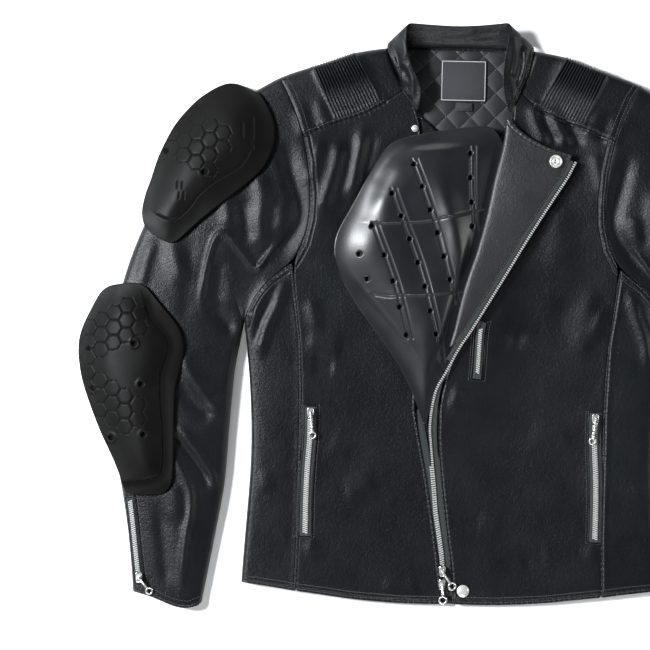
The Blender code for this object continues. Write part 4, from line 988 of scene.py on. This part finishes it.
CAST_METAL = plated("cast_nickel", (0.66, 0.66, 0.65), 0.8)
SLIDER_OUTLINE = (
    (-6, -2.4), (-4, -3.1), (0, -3.75), (4.4, -3.75), (5.9, -2.6), (5.9, -1.3), (4.7, 0),
    (5.9, 1.3), (5.9, 2.6), (4.4, 3.75), (0, 3.75), (-4, 3.1), (-6, 2.4),
)
SLIDER_LEVELS = (  # up, and how wide there: the lower plate, the waist and the upper plate
    (0, 0.9), (0.2, 0.98), (1.0, 0.98), (1.1, 0.84), (2.3, 0.84), (2.4, 0.98), (3.2, 0.98),
    (3.5, 0.88),
)
BRIDGE = (
    (0, -2.55, 3.2), (0, -2.6, 5.0), (0, -2.55, 6.2), (0, -2.1, 6.8), (0, 2.1, 6.8),
    (0, 2.55, 6.2), (0, 2.6, 5.0), (0, 2.55, 3.2),
)
BAR_UP, BAR_THICK = 6.8, 0.85  # mm: the bridge's height and its radius
BEADS = 5
SLIDERS = {  # the slider's place, the middle of its tab's ring, the ring's radius, is it of beads
    "zip_upper": ((-8, -260), (4, -277.5), 5.2, False),
    "zip_lower": ((-8, -275.5), (-6.5, -294), 5.2, False),
    "pocket_zip_left": ((167, -77), (164, -103), 4.5, True),
    "pocket_zip_right": ((-167, -77), (-164, -103), 4.5, True),
    "cuff_zip_left": ((363.5, -274), (351, -290), 4.5, False),
    "cuff_zip_right": ((-363.5, -274), (-351, -290), 4.5, False),
}


def layered(outline, levels):
    """A form with the same outline at each height, made wider or narrower there."""
    outline = np.array(outline, float)
    count = len(outline)
    return rings([np.column_stack([outline * size, np.full(count, up)]) for up, size in levels])


def tube(path, radius, count=8, closed=False):
    """A round bar along a path of points in space."""
    path = np.asarray(path, float)
    runs = np.roll(path, -1, 0) - np.roll(path, 1, 0) if closed else np.gradient(path, axis=0)
    runs /= np.linalg.norm(runs, axis=1)[:, None]
    side = circle(1, count)
    upright = abs(runs[0, 2]) >= 0.9
    outlines, reference = [], np.array((0.0, 1.0, 0.0) if upright else (0.0, 0.0, 1.0))
    for place, run, thick in zip(path, runs, np.broadcast_to(radius, len(path))):
        across = np.cross(reference, run)
        across /= np.linalg.norm(across)
        reference = np.cross(run, across)
        outlines.append(place + thick * (side[:, :1] * across + side[:, 1:] * reference))
    if closed:
        points, faces = rings(outlines, closed_ends=False)
        last = (len(outlines) - 1) * count
        for k in range(count):
            following = (k + 1) % count
            faces.append((last + k, last + following, following, k))
        return points, faces
    return rings(outlines)


def ring_of(middle, radius, thick, flat=1.0):
    """A ring of round wire, squashed or stretched upwards by flat."""
    path = np.column_stack([circle(radius, 28), np.zeros(28)])
    points, faces = tube(path, thick, 10, closed=True)
    return points * (1, 1, flat) + middle, faces


def in_frame(parts, turned):
    """Parts in mm, turned and moved to their place on the jacket, in metres."""
    turned = np.array(turned)
    return [(points @ turned[:3, :3].T * MM + turned[:3, 3], faces) for points, faces in parts]


def ball(middle, radius):
    """A bead of the pull tab's chain."""
    levels = [(math.sin(turn), math.cos(turn)) for turn in np.linspace(-1.45, 1.45, 9)]
    points, faces = layered(circle(1, 12), levels)
    return points * radius + middle, faces


for name, (place, ring_at, ring_radius, beaded) in SLIDERS.items():
    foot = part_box(f"{name}_slider")[0][2]
    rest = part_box(f"{name}_pull")[0][2]
    origin = Vector((place[0] * MM, place[1] * MM, foot))
    turn = math.atan2(ring_at[1] - place[1], ring_at[0] - place[0])
    reach = math.hypot(ring_at[1] - place[1], ring_at[0] - place[0])
    set_down = Matrix.Translation(origin)
    quarter = Matrix.Rotation(math.pi / 2, 4, "Z")
    to_ring = Matrix.Rotation(turn, 4, "Z")
    body = in_frame([layered(SLIDER_OUTLINE, SLIDER_LEVELS)], set_down @ quarter)
    body += in_frame([tube(BRIDGE, BAR_THICK)], set_down @ to_ring)
    slider = piece_from(f"{name}_slider_cast", body, CAST_METAL, shaded=False)
    jacket_piece(slider, f"{name}_slider")
    bar = foot + BAR_UP * MM
    slope = math.atan2(bar - rest - 1 * MM, (reach + ring_radius) * MM)
    on_bar = Matrix.Translation(origin + Vector((0, 0, BAR_UP * MM)))
    far = reach / math.cos(slope)
    eye_points, eye_faces = ring_of((0, 0, 0), 2.2, 0.62, 1.9)
    parts = [(eye_points[:, [0, 2, 1]] * (1, 1, -1), eye_faces)]
    parts.append(ring_of((far, 0, 0), ring_radius * 0.8, ring_radius * 0.2, 0.9))
    start, end = 2.5, far - ring_radius * 0.85
    if beaded:
        step = (end - start) / BEADS
        parts += [ball((start + step * (k + 0.5), 0, 0), step * 0.5) for k in range(BEADS)]
        parts.append(tube([(start, 0, 0), (end, 0, 0)], 0.5))
    else:
        half = [(start, -1.0), (start + 1, -1.15), (end - 1, -1.35), (end, -1.6)]
        link = half + [(along, -out) for along, out in reversed(half)]
        parts.append(layered(link, ((-0.9, 1), (-0.5, 1), (0.5, 1), (0.9, 1))))
    tipped = Matrix.Rotation(slope, 4, "Y")
    tab = piece_from(f"{name}_tab", in_frame(parts, on_bar @ to_ring @ tipped), CAST_METAL)
    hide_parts(f"{name}_pull")
    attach(tab, f"{name}_pull")

# ==== Snaps =======================================================================================
# Turned brass, nickel plated, riveted through the leather: a socket on the rolled front's corner,
# its stud at the right front's neck, and a cap at the hem.

SNAP_METAL = plated("turned_nickel", (0.62, 0.61, 0.58), 0.5)
SNAPS = {  # radius and height in mm, from the foot up and in to the middle
    "snap_socket": (
        (7.1, 0), (7.5, 0.3), (7.5, 1.4), (7.2, 2.0), (6.8, 2.2), (6.2, 2.2), (5.7, 1.9),
        (5.3, 0.8), (4.9, 0.5), (4.5, 0.6), (4.2, 1.5), (3.8, 2.0), (3.3, 2.1), (2.6, 1.9),
        (2.3, 0.9), (2.1, 0.4), (0.05, 0.4),
    ),
    "snap_cap": (
        (6.9, 0), (7.2, 0.3), (7.2, 0.9), (6.8, 1.2), (6.3, 1.2), (6.0, 1.4), (5.2, 1.9),
        (3.8, 2.3), (2.0, 2.55), (0.05, 2.6),
    ),
    "snap_stud": (
        (3.7, 0), (4.0, 0.3), (3.9, 0.7), (3.3, 0.9), (2.6, 0.9), (2.1, 1.2), (2.0, 1.6),
        (2.2, 2.0), (2.0, 2.4), (1.4, 2.6), (0.05, 2.6),
    ),
}
for node, profile in SNAPS.items():
    low, high = (np.array(corner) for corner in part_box(node))
    middle = (low + high) / 2
    unit = circle(1, 36)
    outlines = [np.column_stack([unit * radius, np.full(36, up)]) * MM for radius, up in profile]
    points, faces = rings(outlines)
    turned = points + (middle[0], middle[1], low[2])
    jacket_piece(piece_from(f"{node}_turned", [(turned, faces)], SNAP_METAL), node)

# ==== Zip openings ================================================================================
# Where a zip is let into a panel, the leather is turned in round it: a soft rounded lip of the same
# hide, and a row of stitches that holds it down.

LIPS = (  # the zip, half the width between its lips, how far they pass the tape, and the panels
    ("pocket_zip_left", 7.4, 1.5, ("front_left", "side_front_left")),
    ("pocket_zip_right", 7.4, 1.5, ("front_right", "side_front_right")),
    ("cuff_zip_left", 5.6, 1.0, ("sleeve_upper_left",)),
    ("cuff_zip_right", 5.6, 1.0, ("sleeve_upper_right",)),
    ("chest_zip", 6.8, 2.0, ("front_left",)),
)
LIP_THICK, LIP_UP, LIP_ROW_OUT = 1.15, 0.35, 3.0  # mm: its radius, its height, its stitches


def round_zip(line, out):
    """A closed line round a zip, at a distance from its middle."""
    sides = [shifted(line, out), shifted(line, -out)[::-1]]
    return np.vstack([*sides, sides[0][:1]])


for zip_name, half, past, sewn_to in LIPS:
    tree = surface_tree(*(panels[name] for name in sewn_to))
    line, runs = evenly(ZIP_LINES[zip_name], 3.0)
    runs /= np.linalg.norm(runs, axis=1)[:, None]
    line = np.vstack([line[:1] - runs[:1] * past, line, line[-1:] + runs[-1:] * past])
    loop, _ = evenly(round_zip(line, half), 2.0)
    path = []
    for x, y in loop[:-1] * MM:
        found, _ = top_of(tree, x, y)
        if found is not None:
            path.append(found + (0, 0, LIP_UP * MM))
    lip = piece_from(f"{zip_name}_lips", [tube(path, LIP_THICK * MM, 8, closed=True)], SHELL)
    mark_seams(lip)
    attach(lip, "jacket")
    row = round_zip(line, half + LIP_ROW_OUT)
    stitches(f"{zip_name}_stitches", [row], [tree])

# ==== Shoulder and elbow armour ===================================================================
# Soft black rubber foam, each moulded in one piece with raised hexagons, vent holes and a step
# round the rim. They slip into pockets of the lining, and lie here on the shoulder and sleeve.

CELL = 10.2  # mm from the middle of a hexagon to its corner
VENT_RIM = 2.0  # mm from a vent hole's edge to the top of its raised rim


def hexagons(points, zones):
    """Raised hexagons with cut channels between them, in zones of the photograph's grid."""
    plan = points[:, :2] / MM
    a = plan[:, 0] / (1.5 * CELL)
    b = plan[:, 1] / (math.sqrt(3) * CELL) - a / 2
    best = np.full(len(plan), 1e9)
    middle = np.zeros_like(plan)
    for shift_a in (0, 1):
        for shift_b in (0, 1, -1):
            column, row = np.floor(a) + shift_a, np.round(b) + shift_b
            at = np.column_stack([column * 1.5 * CELL, (row + column / 2) * math.sqrt(3) * CELL])
            away = np.abs(plan - at)
            reach = np.maximum(away[:, 1], away[:, 0] * math.sqrt(3) / 2 + away[:, 1] / 2)
            near = reach < best
            best = np.where(near, reach, best)
            middle = np.where(near[:, None], at, middle)
    inside = np.zeros(len(plan))
    for x, y, radius in zones:
        at = np.array(spot(x, y)) / MM
        inside = np.maximum(inside, np.linalg.norm(middle - at, axis=1) < radius * GRID_STEP)
    edge = CELL * math.sqrt(3) / 2 - best
    return inside * (0.5 * smooth(edge / 1.4) - 1.1 * np.exp(-((edge / 0.85) ** 2)))


def holes(points, places, radius, deep, rim=0.0):
    """Vent holes, and the raised rims round them, at places in the photograph's grid."""
    plan = points[:, :2]
    depth = np.zeros(len(plan))
    for place in places:
        away = np.linalg.norm(plan - np.array(spot(*place)), axis=1) / MM
        depth -= deep * (1 - smooth((away - radius + 0.5) / 1.0))
        depth += rim * np.exp(-((away - radius - VENT_RIM) / 1.6) ** 2)
    return depth


def groove(points, line, wide, deep, step=0.0):
    """A pressed line in a plate, with the plate lower by a step on its left."""
    path = np.array([spot(*place) for place in line])
    away, side, _ = beside(points[:, :2], curved(path) if len(line) > 2 else path)
    away = away / MM
    return -deep * np.exp(-((away / wide) ** 2)) - step * (side > 0) * np.exp(-((away / 9) ** 2))


def rubber(name, dark, light, low, high, level):
    """Moulded rubber or plastic, finely pebbled, and duller where a line is cut into it."""
    material, shader = new_material(name, light, high, Specular_IOR_Level=level)
    place = object_place(material)
    fine = relief(material, clouds(material, place, 700.0, 3.0), 0.12 * MM, strength=0.7)
    wire(material, fine.outputs["Normal"], shader.inputs["Normal"])
    tinted(material, place, shader.inputs["Base Color"], dark, light, 14.0)
    finish = ramped(material, clouds(material, place, 40.0), 0.3, 0.7, low, high)
    dulled = maths(material, "MULTIPLY_ADD", number_on(material, "cut"), 0.5, finish)
    wire(material, dulled, shader.inputs["Roughness"])
    return material


MATTE = rubber(
    "matte_rubber", (0.0014, 0.0013, 0.0012), (0.0028, 0.0026, 0.0024), 0.46, 0.56, level=0.1
)

SHOULDER_ZONES = (  # circles of the photograph's grid that have hexagons
    (210, 147, 21), (188, 143, 22), (170, 150, 14), (191, 122, 15), (202, 166, 11), (224, 150, 9),
)
SHOULDER_SLOTS = (
    ((244, 127), (244, 140)), ((254, 120), (254, 152)), ((179, 183), (179, 190)),
    ((184, 184), (184, 191)), ((181, 194), (181, 200)), ((186, 194), (186, 201)),
)
SHOULDER_LINE = (
    (160, 216), (168, 220), (178, 220), (190, 210), (200, 197), (214, 185), (230, 175),
    (243, 166), (252, 150),
)
SHOULDER_VENTS = ((206.4, 174), (167, 152))
SHOULDER_SIDES = 24 * MM  # the sides are plain up to this height
shoulder = jacket_piece(refined("shoulder_pad", "shoulder_armour", 4, MATTE), "shoulder_pad")
points = points_of(shoulder)
top = smooth((points[:, 2] - SHOULDER_SIDES) / (6 * MM))
rise = hexagons(points, SHOULDER_ZONES) + groove(points, SHOULDER_LINE, 1.3, 0.9, -0.9)
rise += holes(points, SHOULDER_VENTS, 3.6, 3.0, 0.5)
rise += sum(groove(points, slot, 1.1, 0.8) for slot in SHOULDER_SLOTS)
set_number(shoulder, "cut", np.clip(-rise, 0, 1))
points[:, 2] += rise * MM * top
move_points(shoulder, points)

ELBOW_ZONES = (
    (130, 325, 20), (108, 332, 24), (95, 345, 14), (112, 400, 21), (132, 405, 18), (126, 420, 16),
    (98, 385, 16),
)
ELBOW_LINE = (
    (147, 303), (152, 318), (160, 328), (169, 340), (169, 352), (165, 365), (162, 376),
    (162, 400), (164, 428), (164, 463), (157, 475), (130, 480),
)
ELBOW_HOLES = ((137, 343), (89.5, 348), (144, 383), (94, 388), (146, 433), (113, 436.5))
ELBOW_SIDES = 14 * MM
elbow = jacket_piece(refined("elbow_pad", "elbow_armour", 4, MATTE), "elbow_pad")
points = points_of(elbow)
top = smooth((points[:, 2] - ELBOW_SIDES) / (5 * MM))
rise = hexagons(points, ELBOW_ZONES) + groove(points, ELBOW_LINE, 1.2, 0.8, 1.2)
rise += holes(points, ELBOW_HOLES, 2.9, 3.0, 0.9)
set_number(elbow, "cut", np.clip(-rise, 0, 1))
points[:, 2] += rise * MM * top
move_points(elbow, points)

# ==== Chest armour ================================================================================
# A hard glossy plastic shell on foam, pressed with long grooves, two cross lines and rows of vent
# holes. It slips into a pocket behind the front, and lies here under the rolled-back front.

GLOSS = rubber(
    "gloss_shell", (0.0032, 0.0038, 0.0052), (0.005, 0.0058, 0.0078), 0.36, 0.41, level=0.5
)
CHEST_HOLES = (
    (371.7, 227), (383.7, 255.7), (392.3, 281.5), (399, 307), (406, 334.7),
    (391.4, 195), (400.4, 217), (408.6, 239.6), (416.7, 263), (423.7, 286.7), (429, 311),
    (434.7, 334), (438, 358),
    (412.8, 166), (421, 188), (429, 211), (436.7, 233.7), (442.8, 257), (448.6, 280), (453.7, 303),
    (469, 155), (469, 179), (470.4, 203), (471.3, 227), (359, 254.6), (367, 279),
)
CHEST_LINES = (
    ((371, 223), (384, 256), (393, 282), (400, 308), (407, 338)),
    (
        (390, 190), (400, 217), (409, 240), (417, 263), (424, 287), (430, 311), (436, 335),
        (439, 362),
    ),
    ((411, 161), (421, 188), (429, 211), (437, 234), (443, 257), (449, 280), (454, 303)),
    ((469, 148), (469, 179), (470, 203), (472, 232)),
)
CROSS_LINES = (
    ((372, 224), (385, 225), (405, 224), (423, 223), (443, 219), (458, 216), (483, 210)),
    ((375, 295), (388, 297), (400, 296), (418, 296), (435, 295), (462, 292)),
)
GROOVE_TWIN = 5.4  # steps of the grid to the fainter line beside each long groove
CHEST_FORM = (  # long soft rises and hollows of the plate: line, height and half width in mm
    (((433, 166), (442, 192), (450, 218), (458, 250), (466, 285), (469, 320)), 7.6, 14),
    (((402, 180), (409, 220), (418, 262), (428, 305)), -1.6, 16),
    (((404, 148), (394, 172), (382, 200), (374, 226)), 3.4, 13),
)
LOBE_EDGE = ((375, 150), (345, 200), (333, 235), (336, 262), (352, 290), (380, 330), (405, 375))
LOBE_HIGH, LOBE_DIP, LOBE_WIDE = 7.5, 3.0, 55  # mm: the plate swells, in from that edge
CHEST_SIDES = 20 * MM  # the plate's own swellings begin above this height
chest = jacket_piece(refined("chest_pad", "chest_armour", 3, GLOSS, top_again=True), "chest_pad")
points = points_of(chest)
rise = holes(points, CHEST_HOLES, 2.7, 6.0)
for line in CHEST_LINES:
    twin_line = [(x + GROOVE_TWIN, y) for x, y in line]
    rise += groove(points, line, 0.85, 1.4) + groove(points, twin_line, 0.85, 1.1)
for line in CROSS_LINES:
    rise += groove(points, line, 1.0, 1.7, -0.5)
facing = np.empty(len(points) * 3)
chest.data.vertices.foreach_get("normal", facing)
rise *= smooth((facing.reshape(-1, 3)[:, 2] - 0.5) / 0.3)  # nothing is pressed into the steep sides
set_number(chest, "cut", np.clip(-rise, 0, 1))
outer = smooth((points[:, 2] - CHEST_SIDES) / (3 * MM))
away = beside(points[:, :2], curved([spot(*place) for place in LOBE_EDGE]))[0] / MM
lobe = LOBE_HIGH * smooth(away / LOBE_WIDE) - LOBE_DIP
rise += lobe * smooth((125 - away) / LOBE_WIDE)
for line, high, half in CHEST_FORM:
    path = curved([spot(*place) for place in line])
    away, _, along = beside(points[:, :2], path)
    share = along / np.linalg.norm(np.diff(path, axis=0), axis=1).sum()
    ends = smooth(np.minimum(share, 1 - share) * 3)
    rise += high * np.exp(-((away / MM / half) ** 2)) * ends
points[:, 2] += rise * MM * outer
move_points(chest, points)

# ==== The table, the light and the camera =========================================================
# A white table seen from straight above. A soft light like a window's stands at the upper left,
# and three weaker ones fill the shadows from the other sides.

FLOOR, _ = new_material("white_table", (0.86, 0.87, 0.88), 0.6)
FLOOR_HALF, FLOOR_UNDER = 3, 0.0005  # metres
corners = [(-1, -1), (1, -1), (1, 1), (-1, 1)]
floor_points = [(x * FLOOR_HALF, y * FLOOR_HALF, -FLOOR_UNDER) for x, y in corners]
floor_mesh = bpy.data.meshes.new("table_top")
floor_mesh.from_pydata(floor_points, [], [(0, 1, 2, 3)])
floor_mesh.materials.append(FLOOR)
table_top = bpy.data.objects.new("table_top", floor_mesh)
bpy.context.scene.collection.objects.link(table_top)

world = bpy.data.worlds.new("room")
bpy.context.scene.world = world
world.use_nodes = True
room_light = world.node_tree.nodes["Background"]
room_light.inputs["Color"].default_value = (0.93, 0.96, 1.0, 1)
room_light.inputs["Strength"].default_value = 0.06
AIM = Vector((-0.05, 0.02, 0))


def lamp(name, place, size, power, colour=(1, 1, 1)):
    """A soft rectangle of light that faces the jacket, of a size in metres and a power in watts."""
    data = bpy.data.lights.new(name, "AREA")
    data.shape = "RECTANGLE"
    data.size, data.size_y = size
    data.energy = power
    data.color = colour
    made = bpy.data.objects.new(name, data)
    made.location = place
    made.rotation_euler = (AIM - Vector(place)).to_track_quat("-Z", "Y").to_euler()
    bpy.context.scene.collection.objects.link(made)


lamp("window", (-2.3, 0.6, 2.2), (0.7, 0.7), 265, (0.93, 0.965, 1.0))
lamp("right_card", (2.4, 0.1, 0.8), (0.7, 1.6), 28)
lamp("near_card", (-0.2, -2.4, 0.9), (1.6, 0.7), 55)
lamp("far_card", (-0.2, 2.4, 0.6), (1.6, 0.7), 14)
bpy.context.scene.view_settings.view_transform = "Standard"

CAMERA_HIGH = 2.6  # metres
SENSOR = 36  # mm
PICTURE = 650  # steps of the photograph's grid, each way
camera_data = bpy.data.cameras.new("camera")
camera_data.sensor_width = SENSOR
camera_data.lens = SENSOR * CAMERA_HIGH / (PICTURE * PICTURE_SCALE)
camera = bpy.data.objects.new("camera", camera_data)
camera.location = (*spot(PICTURE / 2, PICTURE / 2), CAMERA_HIGH)
camera.rotation_euler = (0, 0, THETA)
bpy.context.scene.collection.objects.link(camera)
bpy.context.scene.camera = camera
